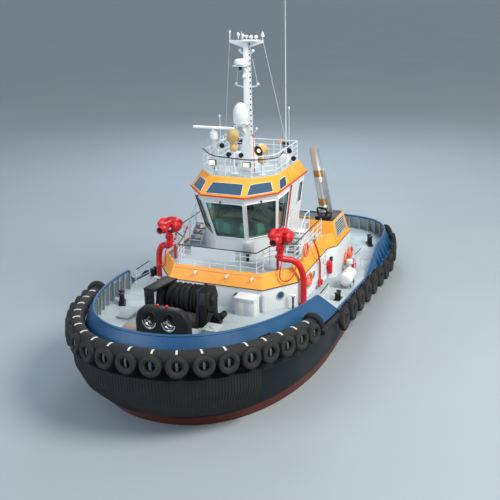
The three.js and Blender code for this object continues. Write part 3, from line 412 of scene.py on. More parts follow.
# A plain mid grey for hinges, dogs, louvres and lids.
GREY = MarinePaint(
    "fitting grey enamel", "grey_paint", "#a9b2b6", 0.5, shade="#8f999e", dirt="#6a665e", patch=0.6,
)
# Coarse brown matting, with a rough pile that takes the light flat.
BUFF = MarinePaint(
    "worn deck mat", "grey_paint", "#9a9085", 0.85, shade="#847a70", dirt="#6a6258", patch=0.4, grain_mm=20, relief=0.8,
)
# Moulded white plastic, smoother and brighter than the painted steel beside it.
GEL = MarinePaint(
    "radome gel coat", "dome_plastic", "#dfe4e7", 0.26, shade="#d2d9dd", dirt="#c6c6c0", patch=0.5, fading=0.4,
    runs=0.15, relief=0.03,
)
# The tyres: dusty grey black, lighter than the fenders behind them.
RUBBER = WornRubber("fender tyre rubber", "fender_rubber", "#1c1e20", 0.85, scuff="#3f403e")
# The moulded fenders: a deep, even black.
MOULDED = WornRubber("moulded fender rubber", "fender_rubber", "#101316", 0.8, scuff="#272a2b", patch=0.6, share=0.5)
# A thin dark line round every pane.
SEAL = WornRubber("window gasket", "fender_rubber", "#1a1f20", 0.6, scuff="#2b3131", patch=0.2, share=0.3)
# Off-white webbing, dirty where it bears.
WEBBING = MarinePaint(
    "lashing webbing", "dome_plastic", "#d9d6cb", 0.85, shade="#b9b4a6", dirt="#6f685c", patch=0.1, fading=0.9,
    runs=0.5, grain_mm=6, relief=0.7,
)
# The tyres' hangers, tarred grey, that hardly show against the rubber.
STRAP = MarinePaint(
    "tarred hanger strap", "dark_plastic", "#565a57", 0.85, shade="#434643", dirt="#2d2f2d", patch=0.15, grain_mm=6,
)
# Charcoal fibre rope with a furry, lightless surface.
LINE = MarinePaint(
    "tow line fibre", "dark_plastic", "#232628", 0.9, shade="#393c3e", dirt="#17191b", patch=0.12, fading=0.8,
    grain_mm=8, relief=0.9,
)
# Zinc: a soft, milky glint on chains, cradles and vents.
STEEL = PolishedSteel("galvanised steel", "exhaust_steel", "#b9bdc0", 0.42, metallic=0.85)
# The lips that ropes keep bright, like a mirror with fine scratches.
BRIGHT = PolishedSteel("rope polished steel", "exhaust_steel", "#d6d8d9", 0.2)
# Nearly white stainless pipes, crossed by straw bands at each weld.
EXHAUST = PolishedSteel(
    "exhaust stainless", "exhaust_steel", "#dcdcdc", 0.3,
    bands=((4.6, "#d9d8d5"), (4.98, "#e2e1df"), (5.04, "#b08a58"), (5.36, "#c39c68"), (5.42, "#e4e3e1"),
           (6.48, "#e8e7e5"), (6.55, "#b58f5c"), (6.84, "#c6a06c"), (6.92, "#eeedeb"), (8.3, "#e6e5e3")),
)
# Yellow bronze below the water.
BRONZE = PolishedSteel("propeller bronze", "bronze", "#b08a4e", 0.35)
# Clear panes with a green cast, so that the desk and the far windows show through.
GLASS = WindowGlass("wheelhouse glass", "window_glass", "#cdece3", 0.04)
# Opaque panes in a dark slate blue: painted shade that stands in for the unlit rooms behind them. Their gloss mirrors
# the sky.
SHADE_PAINTED_GLASS = WindowGlass("visor glass", "window_glass", "#35526b", 0.08, seen_through=0.0)
# Black mouldings, slightly shiny.
DARK = MarinePaint(
    "moulded black plastic", "dark_plastic", "#1c1f21", 0.5, shade="#2a2e31", dirt="#34363a", patch=0.3, runs=0.1,
)
# The desk's pale green laminate, which tints the view through the glass.
TEAL = MarinePaint(
    "console laminate", "dark_plastic", "#8fd0c2", 0.5, shade="#7cc0b2", dirt="#4a766e", patch=0.4, runs=0.1,
)
# Dark green leathercloth with a fine grain.
HIDE = MarinePaint(
    "chair leathercloth", "dark_plastic", "#2c4a4c", 0.55, shade="#365a5c", dirt="#1f3637", patch=0.15, runs=0.15,
    grain_mm=5, relief=0.5,
)
# Warm white lamp glass that glows: a painted highlight, the bright spot that daylight puts on the floodlight and
# searchlight glass.
LENS_HIGHLIGHT = LitLens("floodlight lens", "dome_plastic", "#fff3cf", 0.25, glow=0.9)
# The amber warning lamp, a small warm spot.
AMBER = LitLens("amber lamp", "dome_plastic", "#f59a1d", 0.25, glow=0.35)


# ---- modelling


def choose(piece: bpy.types.Object | None = None) -> None:
    """Leaves only one object selected and active, or none selected, in object mode.

    Args:
        piece: The object to select.
    """
    if bpy.context.object and bpy.context.object.mode != "OBJECT":
        bpy.ops.object.mode_set(mode="OBJECT")
    bpy.ops.object.select_all(action="DESELECT")
    if piece:
        piece.select_set(True)
        bpy.context.view_layer.objects.active = piece


def finish_piece(
    piece: bpy.types.Object,
    finish: Finish,
    body: str = "root",
    replaces: str = "",
    bevel: float = 0.0,
    smooth: float = 35.0,
) -> bpy.types.Object:
    """Bevels, shades, paints and attaches a piece.

    Args:
        piece: The mesh object.
        finish: Its surface finish.
        body: The body that it rides on.
        replaces: The node that it stands for.
        bevel: Width of its edge rounding in metres.
        smooth: The largest angle that is shaded smooth, in degrees.

    Returns:
        The same object.
    """
    choose(piece)
    if bevel:
        edge = piece.modifiers.new("edge", "BEVEL")
        edge.width, edge.segments = bevel, 2
        edge.limit_method, edge.angle_limit = "ANGLE", SHARP
        bpy.ops.object.modifier_apply(modifier=edge.name)
    bpy.ops.object.shade_smooth_by_angle(angle=math.radians(smooth))
    piece.data.materials.clear()
    piece.data.materials.append(finish.material())
    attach(piece, body)
    if replaces:
        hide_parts(replaces)
    log.info("%s: %d faces, %s", piece.name, len(piece.data.polygons), finish.name)
    return piece


def paint_faces(piece: bpy.types.Object, finish: Finish, test: Callable[[Vector, Vector], bool]) -> None:
    """Gives a second finish to the faces that pass a test.

    Args:
        piece: The mesh object.
        finish: The finish for those faces.
        test: Takes a face's centre and normal, and says whether it takes the finish.
    """
    piece.data.materials.append(finish.material())
    index = len(piece.data.materials) - 1
    for face in piece.data.polygons:
        if test(face.center, face.normal):
            face.material_index = index


def node_copy(node: str, name: str, whole: bool = True) -> bpy.types.Object:
    """Copies a CAD node's mesh as one smooth skin, to be dressed in its place.

    Args:
        node: The node.
        name: The new piece's name.
        whole: Whether the triangles of a flat face are made one face.

    Returns:
        The new object, with its corners merged.
    """
    mesh = frame["nodes"][node].data.copy()
    mesh.name = name
    piece = bpy.data.objects.new(name, mesh)
    bpy.context.scene.collection.objects.link(piece)
    choose(piece)
    if mesh.has_custom_normals:
        bpy.ops.mesh.customdata_custom_splitnormals_clear()
    bpy.ops.object.mode_set(mode="EDIT")
    bpy.ops.mesh.select_all(action="SELECT")
    bpy.ops.mesh.remove_doubles(threshold=SAME_CORNER)
    if whole:
        bpy.ops.mesh.dissolve_limited(angle_limit=FLAT)
    bpy.ops.object.mode_set(mode="OBJECT")
    return piece


def axes_along(direction: Vector, hint: Vector | None = None) -> tuple[Vector, Vector]:
    """Finds two directions square to a third.

    Args:
        direction: The third direction.
        hint: A direction that the first of the two stays near.

    Returns:
        The two directions.
    """
    guide = hint if hint is not None else (Vector((0, 0, 1)) if abs(direction.z) < 0.9 else Vector((1, 0, 0)))
    across = (guide - direction * guide.dot(direction)).normalized()
    return across, direction.cross(across)


def dress(
    node: str, finish: Finish, bevel: float = 0.006, smooth: float = 30.0, body: str = "root"
) -> bpy.types.Object:
    """Puts a finished copy of a CAD node's skin in its place.

    Args:
        node: The node.
        finish: Its surface finish.
        bevel: Width of its edge rounding in metres.
        smooth: The largest angle that is shaded smooth, in degrees.
        body: The body that it rides on.

    Returns:
        The new piece.
    """
    return finish_piece(node_copy(node, f"{node}_skin"), finish, body, node, bevel, smooth)


class Bench:
    """One mesh piece on the bench, built in edit mode out of shaped primitives."""

    def __init__(self, name: str, origin: Point = (0, 0, 0), side: Side = Side.PORT) -> None:
        """Starts an empty piece.

        Args:
            name: The piece's name.
            origin: The point that its primitives are measured from, given on the port side.
            side: To starboard, the point and they are mirrored across the boat.
        """
        choose()
        bpy.ops.object.add(type="MESH", location=(0, 0, 0))
        self.piece = bpy.context.object
        self.piece.name = self.piece.data.name = name
        bpy.ops.object.mode_set(mode="EDIT")
        self.stand(origin, side)

    def stand(self, origin: Point = (0, 0, 0), side: Side = Side.PORT) -> None:
        """Sets where the next primitives are measured from.

        Args:
            origin: The point, given on the port side.
            side: To starboard, point and primitives are mirrored across the boat.
        """
        self.origin, self.side = origin, side

    def put(self, point: Point | Vector) -> Point:
        """Gives a measured point's place on the boat."""
        x, y, z = self.origin
        return x + point[0], self.side.sign * (y + point[1]), z + point[2]

    def way(self, direction: Point | Vector) -> Vector:
        """Gives a measured direction's direction on the boat."""
        return Vector((direction[0], self.side.sign * direction[1], direction[2]))

    def hold(self) -> None:
        """Takes the piece back into edit mode where another one has been on the bench."""
        if bpy.context.object is not self.piece or self.piece.mode != "EDIT":
            choose(self.piece)
            bpy.ops.object.mode_set(mode="EDIT")
            bpy.ops.mesh.select_all(action="DESELECT")

    def fresh(self) -> list[bmesh.types.BMVert]:
        """Gives the corners of the primitive just added, which are the selected ones."""
        self.mesh = bmesh.from_edit_mesh(self.piece.data)
        return [vert for vert in self.mesh.verts if vert.select]

    def block(self, low: Point, high: Point, turn: float = 0.0) -> None:
        """Adds a block between two corners.

        Args:
            low: The lowest corner.
            high: The highest corner.
            turn: Its turn about the vertical, in degrees.
        """
        self.hold()
        ends = list(zip(self.put(low), self.put(high)))
        middle, size = [(a + b) / 2 for a, b in ends], [abs(b - a) for a, b in ends]
        bpy.ops.mesh.primitive_cube_add(size=1, location=middle, scale=size, rotation=(0, 0, math.radians(turn)))

    def rod(self, start: Point, end: Point, radius: float, end_radius: float | None = None, sides: int = 16) -> None:
        """Adds a round or tapered bar.

        Args:
            start: One end.
            end: The other end.
            radius: Radius at the start.
            end_radius: Radius at the end, if it differs.
            sides: How many sides it has.
        """
        self.hold()
        a, b = Vector(self.put(start)), Vector(self.put(end))
        bpy.ops.mesh.primitive_cone_add(
            vertices=sides,
            radius1=radius,
            radius2=radius if end_radius is None else end_radius,
            depth=(b - a).length,
            location=(a + b) / 2,
            rotation=(b - a).to_track_quat("Z", "Y").to_euler(),
        )

    def ball(self, centre: Point, radius: float, stretch: Point = (1, 1, 1), sides: int = 20) -> None:
        """Adds a ball or an ellipsoid.

        Args:
            centre: Its centre.
            radius: Its radius.
            stretch: Its scale along X, Y and Z.
            sides: Segments round it.
        """
        self.hold()
        bpy.ops.mesh.primitive_uv_sphere_add(
            segments=sides, ring_count=sides // 2, radius=radius, location=self.put(centre), scale=stretch
        )

    def hoop(self, centre: Point, axis: Point, radius: float, thick: float, sides: int = 28) -> None:
        """Adds a ring of round section.

        Args:
            centre: Its centre.
            axis: The direction that it faces.
            radius: Radius to the middle of the section.
            thick: Radius of the section.
            sides: Segments round it.
        """
        self.hold()
        bpy.ops.mesh.primitive_torus_add(
            major_segments=sides,
            minor_segments=10,
            major_radius=radius,
            minor_radius=thick,
            location=self.put(centre),
            rotation=self.way(axis).to_track_quat("Z", "Y").to_euler(),
        )

    def plate(self, outline: list[Point], depth: Point) -> None:
        """Adds a plate: an outline drawn out by a vector.

        Args:
            outline: Its corners in order.
            depth: The vector that gives it thickness.
        """
        self.hold()
        bpy.ops.mesh.primitive_circle_add(vertices=len(outline), radius=1, fill_type="NGON")
        for vert, place in zip(self.fresh(), outline):
            vert.co = self.put(place)
        bpy.ops.mesh.extrude_region_move(TRANSFORM_OT_translate={"value": tuple(self.way(depth))})
        bpy.ops.mesh.select_linked()
        bpy.ops.mesh.normals_make_consistent(inside=False)

    def skin(self, rings: list[list[Vector]], closed: bool = False) -> None:
        """Stretches a grid over rings of points, for a swept or turned shape with filled ends.

        Args:
            rings: Rings with the same number of points, each closed on itself.
            closed: Whether the last ring joins the first, and no end is filled.
        """
        self.hold()
        rows = rings + rings[:1] if closed else rings
        wide, tall = len(rows[0]), len(rows) - 1
        bpy.ops.mesh.primitive_grid_add(x_subdivisions=wide, y_subdivisions=tall, size=2)
        for vert in self.fresh():
            column = round((vert.co.x + 1) / 2 * wide) % wide
            row = round((vert.co.y + 1) / 2 * tall)
            vert.co = self.put(rows[row][column])
        bpy.ops.mesh.remove_doubles(threshold=1e-5)
        if not closed:
            bpy.ops.mesh.fill_holes(sides=0)
            bpy.ops.mesh.select_linked()
        bpy.ops.mesh.normals_make_consistent(inside=False)

    def tube(self, points: Sequence[Point], radius: float, sides: int = 8, closed: bool = False) -> None:
        """Adds a tube along points, mitred at its corners.

        Args:
            points: The points that it follows.
            radius: Its radius.
            sides: How many sides it has.
            closed: Whether it joins its own start.
        """
        line = [Vector(p) for p in points]
        rings = []
        across: Vector | None = None
        for i, place in enumerate(line):
            before = line[i - 1] if i or closed else None
            after = line[(i + 1) % len(line)] if i + 1 < len(line) or closed else None
            into = (place - before).normalized() if before is not None else (after - place).normalized()
            away = (after - place).normalized() if after is not None else into
            along = (into + away).normalized()
            across, other = axes_along(along, across)
            miter = 1 / max(0.5, along.dot(into))
            side = (into - away).normalized() if (into - away).length > SAME_CORNER else None
            ring = []
            for c, s in circle(sides):
                arm = (across * c + other * s) * radius
                if side is not None:
                    arm += side * arm.dot(side) * (miter - 1)
                ring.append(place + arm)
            rings.append(ring)
        self.skin(rings, closed=closed)

    def lathe(self, profile: Sequence[Pair], centre: Point = (0, 0, 0), axis: Point = UP, sides: int = 24) -> None:
        """Adds a turned shape.

        Args:
            profile: Pairs of radius and distance along the axis, from one end to the other.
            centre: Where the distance is 0.
            axis: The axis.
            sides: Segments round it.
        """
        along = Vector(axis).normalized()
        across, other = axes_along(along)
        rings = []
        for radius, reach in profile:
            middle = Vector(centre) + along * reach
            rings.append([middle + (across * c + other * s) * max(radius, 1e-3) for c, s in circle(sides)])
        self.skin(rings)

    def done(
        self, finish: Finish, body: str = "root", replaces: str = "", bevel: float = 0.0, smooth: float = 35.0
    ) -> bpy.types.Object:
        """Takes the piece off the bench, finished.

        Args:
            finish: Its surface finish.
            body: The body that it rides on.
            replaces: The node that it stands for.
            bevel: Width of its edge rounding in metres.
            smooth: The largest angle that is shaded smooth, in degrees.

        Returns:
            The finished object.
        """
        self.hold()
        bpy.ops.object.mode_set(mode="OBJECT")
        return finish_piece(self.piece, finish, body, replaces, bevel, smooth)


def arc(points: list[Point], steps: int = 6) -> list[Point]:
    """Rounds a line of points by a centripetal curve through them.

    Args:
        points: The points.
        steps: Steps between each two.

    Returns:
        The points of the curve.
    """
    line = [Vector(p) for p in points]
    line = [2 * line[0] - line[1], *line, 2 * line[-1] - line[-2]]
    curve: list[Point] = []
    for a, b, c, d in zip(line, line[1:], line[2:], line[3:]):
        for k in range(steps):
            t = k / steps
            place = 0.5 * ((2 * b) + (c - a) * t + (2 * a - 5 * b + 4 * c - d) * t * t + (3 * b - a - 3 * c + d) * t**3)
            curve.append(tuple(place))
    curve.append(tuple(line[-2]))
    return curve


def tyre_row(name: str, tyre: "Tyre", places: list[tuple[Vector, Vector, Matrix]]) -> None:
    """Models a tyre, copies it to its places and finishes the copies as one piece.

    Args:
        name: The piece's name.
        tyre: The tyre's sizes.
        places: Each copy's centre, the way its axle points and its own turn or scale.
    """
    model = tyre.model()
    copies = []
    for centre, out, turn in places:
        twin = model.copy()
        twin.data = model.data.copy()
        twin.data.transform(facing(centre, out) @ turn)
        bpy.context.scene.collection.objects.link(twin)
        copies.append(twin)
    bpy.data.objects.remove(model)
    choose(copies[0])
    for twin in copies:
        twin.select_set(True)
    bpy.ops.object.join()
    copies[0].name = copies[0].data.name = name
    finish_piece(copies[0], RUBBER, smooth=38)


def facing(place: Vector, out: Vector) -> Matrix:
    """Gives the transform that lays a model's Z axis along a direction.

    Args:
        place: Where its origin goes.
        out: Where its Z axis points.

    Returns:
        The transform.
    """
    along = out.normalized()
    across, other = axes_along(along)
    turn = Matrix((other, across * -1, along)).transposed()
    if turn.determinant() < 0:
        turn = Matrix((other, across, along)).transposed()
    return Matrix.Translation(place) @ turn.to_4x4()


# ---- the boat's lines


@dataclass(frozen=True)
class Station:
    """A place on the deck edge, with its outward direction and its distance along the edge."""

    place: Vector
    out: Vector
    run: float

    def at(self, out: float, up: float) -> Vector:
        """Gives a point so far out and up from the place."""
        return self.place + self.out * out + Vector((0, 0, up))

    def along(self, length: float = 1.0) -> Vector:
        """Gives a vector of so many metres along the edge."""
        return Vector((-self.out.y, self.out.x, 0)) * length


@dataclass(frozen=True)
class DeckEdge:
    """The deck edge: straight sides, a full round bow and a rounder stern, with sheer forward."""

    half: float = 5.27
    bow: float = 11.73
    stern: float = -11.75
    bow_start: float = 2.4
    stern_start: float = -6.13
    bow_power: float = 2.23
    stern_power: float = 3.6
    aft_deck: float = 1.4
    middle_deck: float = 2.013
    sheer: float = 0.1
    points: int = 400

    def height(self, x: float) -> float:
        """Gives the deck's height at a place along the boat."""
        return max(self.aft_deck, self.middle_deck + self.sheer * x)

    def corner(self, share: float, fore: bool) -> Vector:
        """Gives a point of a port quarter of the plan.

        Args:
            share: How far round it is, from the side (0) to the boat's end (1).
            fore: Whether it is a bow quarter.

        Returns:
            The point, at height 0.
        """
        angle = math.pi / 2 * share
        power = 2 / (self.bow_power if fore else self.stern_power)
        reach, spread = max(0.0, math.sin(angle)) ** power, max(0.0, math.cos(angle)) ** power
        start, end = (self.bow_start, self.bow) if fore else (self.stern_start, self.stern)
        return Vector((start + (end - start) * reach, self.half * spread, 0))

    def run(self, fore: bool, limit: float, spacing: float) -> list[Station]:
        """Walks the edge round one end of the boat at even distances, middle included.

        Args:
            fore: Whether it goes round the bow.
            limit: The x where it starts and ends.
            spacing: The distance between stations, adjusted to fit.

        Returns:
            The stations from starboard to port.
        """
        quarter = [self.corner(k / self.points, fore) for k in range(self.points + 1)]
        straight = self.bow_start if fore else self.stern_start
        if (limit < straight) if fore else (limit > straight):
            quarter.insert(0, Vector((limit, self.half, 0)))
        port = [p for p in quarter if (p.x >= limit - 1e-6 if fore else p.x <= limit + 1e-6)]
        line = [Vector((p.x, -p.y, 0)) for p in port] + port[::-1][1:]
        lengths = [0.0]
        for a, b in zip(line, line[1:]):
            lengths.append(lengths[-1] + (b - a).length)
        steps = max(2, 2 * round(lengths[-1] / spacing / 2))
        stations, i = [], 0
        for k in range(steps + 1):
            run = lengths[-1] * k / steps
            while i < len(line) - 2 and lengths[i + 1] < run:
                i += 1
            t = (run - lengths[i]) / max(1e-9, lengths[i + 1] - lengths[i])
            place = line[i].lerp(line[i + 1], t)
            along = (line[min(i + 2, len(line) - 1)] - line[max(i - 1, 0)]).normalized()
            out = Vector((along.y, -along.x, 0)) * (1 if fore else -1)
            stations.append(Station(Vector((place.x, place.y, self.height(place.x))), out, run - lengths[-1] / 2))
        return stations


EDGE = DeckEdge()


# ---- hull and bulwarks


@dataclass
class HullForm:
    """The plated hull: dark topsides, a red brown bottom and a pale non slip deck."""

    bar: float = 0.055
    bar_out: float = 5.245

    def build(self) -> None:
        """Builds the hull's skin, the bar along the open deck edge and the seams of the plating."""
        skin = finish_piece(node_copy("hull", "hull_skin"), HULL, replaces="hull", smooth=28)
        paint_faces(skin, DECK, lambda centre, normal: normal.z > 0.9 and centre.z > 1.3)
        bars = Bench("deck_edge_bars")
        for side in Side:
            bars.stand((0, self.bar_out, 0.03), side)
            bars.tube([(x, 0, EDGE.height(x)) for x in (2.9, 1.5, 0.0, -1.2, -2.6)], self.bar, sides=10)
        bars.done(BLUE)
        seams = Bench("deck_seams")
        for x in (6.15, 4.55, -6.2, -8.4, -10.1):
            half = 4.55 if x > -9 else 3.6
            z = EDGE.height(x) + 0.003
            seams.block((x - 0.012, -half, z - 0.004), (x + 0.012, half, z + 0.003))
        seams.done(INNER)


@dataclass
class Bulwarks:
    """The bulwark plates with their rails, stays and gussets."""

    height: float = 1.022
    lean: float = 0.498
    thick: float = 0.09
    rail: float = 0.062
    stay_spacing: float = 0.66
    aft_height: float = 0.85
    aft_lean: float = 0.3
    fore_ramp: Pair = (2.73, 1.3)
    aft_ramp: Pair = (-2.55, 3.75)
    half_plan: Pair = (12, 5.5)
    fairlead: Point = (8.6, 0.47, 0.62)

    def fore_rise(self, x: float) -> float:
        """Gives the share of full height that the fore bulwark has at a place."""
        return min(1.0, max(0.02, (x - self.fore_ramp[0]) / self.fore_ramp[1]))

    def aft_rise(self, x: float) -> float:
        """Gives the share of full height that the aft bulwark has at a place."""
        return min(1.0, max(0.02, (self.aft_ramp[0] - x) / self.aft_ramp[1]))

    def build(self) -> None:
        """Builds both bulwarks."""
        for node, name in (("bulwark_fore", "fore_bulwark_plate"), ("bulwark_aft", "aft_bulwark_plate")):
            plate = finish_piece(node_copy(node, name), BLUE, replaces=node, smooth=30)
            paint_faces(plate, INNER, self.inboard)
        self.rails()
        self.stays()
        self.fairlead_rollers()

    def inboard(self, centre: Vector, normal: Vector) -> bool:
        """Says whether a face of a bulwark plate looks inboard."""
        half_length, half_beam = self.half_plan
        return normal.x * centre.x / half_length + normal.y * centre.y / half_beam < -0.12

    def rails(self) -> None:
        """Builds the round rails along the tops."""
        rails = Bench("bulwark_rails")
        for fore, start, rise, lean, height in (
            (True, 2.76, self.fore_rise, self.lean, self.height),
            (False, -2.6, self.aft_rise, self.aft_lean, self.aft_height),
        ):
            shares = [(station, rise(station.place.x)) for station in EDGE.run(fore, start, 0.3)]
            line = [station.at(-lean * share - 0.045, height * share - 0.02) for station, share in shares]
            rails.tube(line, self.rail, sides=10)
        rails.done(BLUE)

    def stays(self) -> None:
        """Builds the flanged stays inside, and the gussets outside the stern."""
        stays = Bench("bulwark_stays")
        for station in EDGE.run(True, 3.9, self.stay_spacing):
            self.stay(stays, station, -self.lean * 0.93 - self.thick, self.height * 0.93, 0.42)
        for station in EDGE.run(False, -6.3, self.stay_spacing * 1.1):
            self.stay(stays, station, -self.aft_lean * 0.92 - self.thick, self.aft_height * 0.92, 0.3)
        stays.done(INNER)
        gussets = Bench("stern_gussets")
        for station in EDGE.run(False, -5.4, 0.62):
            rise = self.aft_height * self.aft_rise(station.place.x) * 0.8
            along = station.along(0.014)
            top = -self.aft_lean * rise / self.aft_height - 0.01
            outline = [station.at(*place) for place in ((-0.02, 0.012), (0.13, 0.012), (0.13, 0.06), (top, rise))]
            gussets.plate([p - along for p in outline], along * 2)
        section = ((0.13, -0.1), (0.13, 0.02), (-0.05, 0.02), (-0.05, -0.1))
        gussets.skin([[station.at(out, up) for out, up in section] for station in EDGE.run(False, -5.3, 0.35)])
        gussets.done(BLUE)

    def stay(self, bench: Bench, station: Station, top: float, height: float, depth: float) -> None:
        """Adds one stay: a tapered plate square to the bulwark, with a flange on its free edge.

        Args:
            bench: The bench that it is built on.
            station: Where it stands.
            top: How far out its top is.
            height: Its height.
            depth: Its depth at the foot.
        """
        along, flange, foot = station.along(0.011), station.along(0.045), -self.thick - 0.03
        head, heel = station.at(top - 0.07, height), station.at(foot - depth, 0.004)
        outline = [station.at(foot, 0.004), station.at(top, height), head, heel]
        bench.plate([p - along for p in outline], along * 2)
        bench.plate([head - flange, head + flange, heel + flange, heel - flange], station.out * 0.014)

    def fairlead_rollers(self) -> None:
        """Builds the rollers and rims of the two fairleads in the fore bulwark."""
        rollers, rims = Bench("fairlead_rollers"), Bench("fairlead_rims")
        x, above, width = self.fairlead
        for side in Side:
            stations = [s for s in EDGE.run(True, 3.0, 0.05) if s.place.y * side.sign > 0]
            station = min(stations, key=lambda s: abs(s.place.x - x))
            along = station.along()
            lean = -self.lean * above / self.height - self.thick / 2
            middle = station.at(lean, above)
            for end in (1, -1):
                foot, half = middle + along * end * (width / 2 - 0.06), Vector((0, 0, 0.16))
                rollers.rod(foot - half, foot + half, 0.05, sides=14)
            for up in (-0.13, 0.13):
                level = middle + Vector((0, 0, up))
                rollers.rod(level - along * 0.28, level + along * 0.28, 0.035, sides=12)
            corners = [
                middle + along * a * (width / 2 + 0.015) + Vector((0, 0, b * 0.165)) + station.out * (-0.07 * b + 0.04)
                for a, b in ((-1, -1), (1, -1), (1, 1), (-1, 1))
            ]
            rims.tube(corners, 0.028, closed=True)
        rollers.done(BLACK)
        rims.done(BLUE)


# ---- fendering


@dataclass(frozen=True)
class Tyre:
    """A worn truck tyre hung as a fender, lying on its side with its axle along Z."""

    radius: float
    width: float
    hole: float
    lugs: int = 32

    def model(self) -> bpy.types.Object:
        """Models the tyre from a torus: flat tread, bulged walls, beads and cut lugs.

        Returns:
            The mesh object, with its centre at the origin.
        """
        half = self.width / 2
        middle, section = (self.radius + self.hole) / 2, (self.radius - self.hole) / 2
        choose()
        bpy.ops.mesh.primitive_torus_add(
            major_segments=self.lugs, minor_segments=16, major_radius=middle, minor_radius=section, location=(0, 0, 0)
        )
        model = bpy.context.object
        bpy.ops.object.mode_set(mode="EDIT")
        mesh = bmesh.from_edit_mesh(model.data)
        for vert in mesh.verts:
            reach = math.hypot(vert.co.x, vert.co.y)
            across, up = (reach - middle) / section, vert.co.z / section
            across = math.copysign(abs(across) ** 0.62, across)
            up = math.copysign(abs(up) ** 0.7, up)
            bulge = 1 - 0.16 * max(0.0, across) ** 3 - 0.22 * max(0.0, -across) ** 2
            radius = middle + across * section
            vert.co.x, vert.co.y = vert.co.x / reach * radius, vert.co.y / reach * radius
            vert.co.z = up * half * bulge
        bpy.ops.mesh.select_mode(type="FACE")
        bpy.ops.mesh.select_all(action="DESELECT")
        for face in mesh.faces:
            centre = face.calc_center_median()
            tread = math.hypot(centre.x, centre.y) > self.radius * 0.9 and abs(centre.z) < half * 0.75
            face.select = tread
        bmesh.update_edit_mesh(model.data)
        bpy.ops.mesh.inset(thickness=self.radius * 0.012, depth=-self.radius * 0.022, use_individual=True)
        bpy.ops.object.mode_set(mode="OBJECT")
        return model


@dataclass
class BowFender:
    """The roll of threaded tyres round the bow with the row of tyres hung before it, and the ribbed block below."""

    radius: float = 0.31
    above: float = 0.45
    out: float = 0.1507
    end: float = 5.9
    spacing: float = 0.85
    rows: int = 9
    tyre: Tyre = Tyre(radius=0.425, width=0.235, hole=0.19)
    tyre_out: float = 0.0736
    tyre_drop: float = 0.15
    rib: float = 0.115
    rib_crest: float = 0.428
    rib_groove: float = 0.408

    def build(self) -> None:
        """Builds the roll, its tyres and lashings, and the block."""
        stations = EDGE.run(True, self.end, 0.09)
        roll = Bench("bow_roll")
        rings = []
        for station in stations:
            phase = (station.run / self.spacing) % 1
            near = min(phase, 1 - phase) * self.spacing
            waist = 1 - 0.1 * math.exp(-((near / 0.07) ** 2))
            rings.append([station.at(self.out + c, self.above + s) for c, s in circle(18, self.radius * waist)])
        roll.skin(rings)
        roll.done(MOULDED, replaces="bow_fender", smooth=50)
        self.hung_tyres()
        self.lashings()
        self.block()

    def hung(self) -> list[tuple[Station, Vector]]:
        """Finds the places of the hung tyres.

        Returns:
            The station and the centre of each.
        """
        stations = EDGE.run(True, self.end, 0.02)
        found = []
        for k in range(-self.rows, self.rows + 1):
            station = min(stations, key=lambda s: abs(s.run - k * self.spacing))
            found.append((station, station.at(self.out + self.radius + self.tyre_out, self.above - self.tyre_drop)))
        return found

    def hung_tyres(self) -> None:
        """Hangs the tyres, each on a strap through its eye."""
        places = []
        straps = Bench("tyre_hangers")
        for i, (station, centre) in enumerate(self.hung()):
            tilt = 0.12 + 0.05 * math.sin(i * 2.4)
            places.append((centre, station.out + Vector((0, 0, tilt)), Matrix.Rotation(i * 0.7, 4, "Z")))
            along, thick = station.along(0.045), station.out * 0.014
            rings = []
            for out_by, up in ((-0.02, -0.19), (0.03, -0.1), (0.03, 0.1), (-0.02, 0.22)):
                middle = centre + station.out * out_by + Vector((0, 0, up))
                rings.append([middle - along, middle + along, middle + along + thick, middle - along + thick])
            straps.skin(rings)
        for station in (EDGE.run(True, self.end + 0.1, 0.02)[end] for end in (0, -1)):
            leaning = station.along() + Vector((0, 0, 0.25))
            places.append((station.at(self.out + 0.03, self.above + 0.05), leaning, Matrix.Scale(1.1, 4)))
        tyre_row("bow_tyres", self.tyre, places)
        straps.done(STRAP, smooth=60)

    def lashings(self) -> None:
        """Wraps a white lashing over the top of the roll at each tyre."""
        bands = Bench("roll_lashings")
        grip = self.radius * 0.91
        for station, _ in self.hung():
            along = station.along(0.038)
            rings = []
            for k in range(8):
                c, s = math.cos(math.radians(56 + 9 * k)), math.sin(math.radians(56 + 9 * k))
                inner, outer = (station.at(self.out + r * c, self.above + r * s) for r in (grip, grip + 0.016))
                rings.append([inner - along, inner + along, outer + along, outer - along])
            bands.skin(rings)
        bands.done(WEBBING, smooth=60)

    def block(self) -> None:
        """Builds the ribbed block under the tyres."""
        block = Bench("bow_block")
        rings = []
        for i, station in enumerate(EDGE.run(True, 9.3, self.rib / 4)):
            proud = self.rib_crest if i % 4 in (1, 2) else self.rib_groove
            section = ((proud, -0.333), (proud, -1.03), (proud - 0.28, -1.7), (proud - 0.85, -2.348), (-1.4, -2.348),
                       (-0.3, -0.333))
            rings.append([station.at(out, up) for out, up in section])
        block.skin(rings)
        block.done(MOULDED, replaces="bow_fender_block", smooth=25)


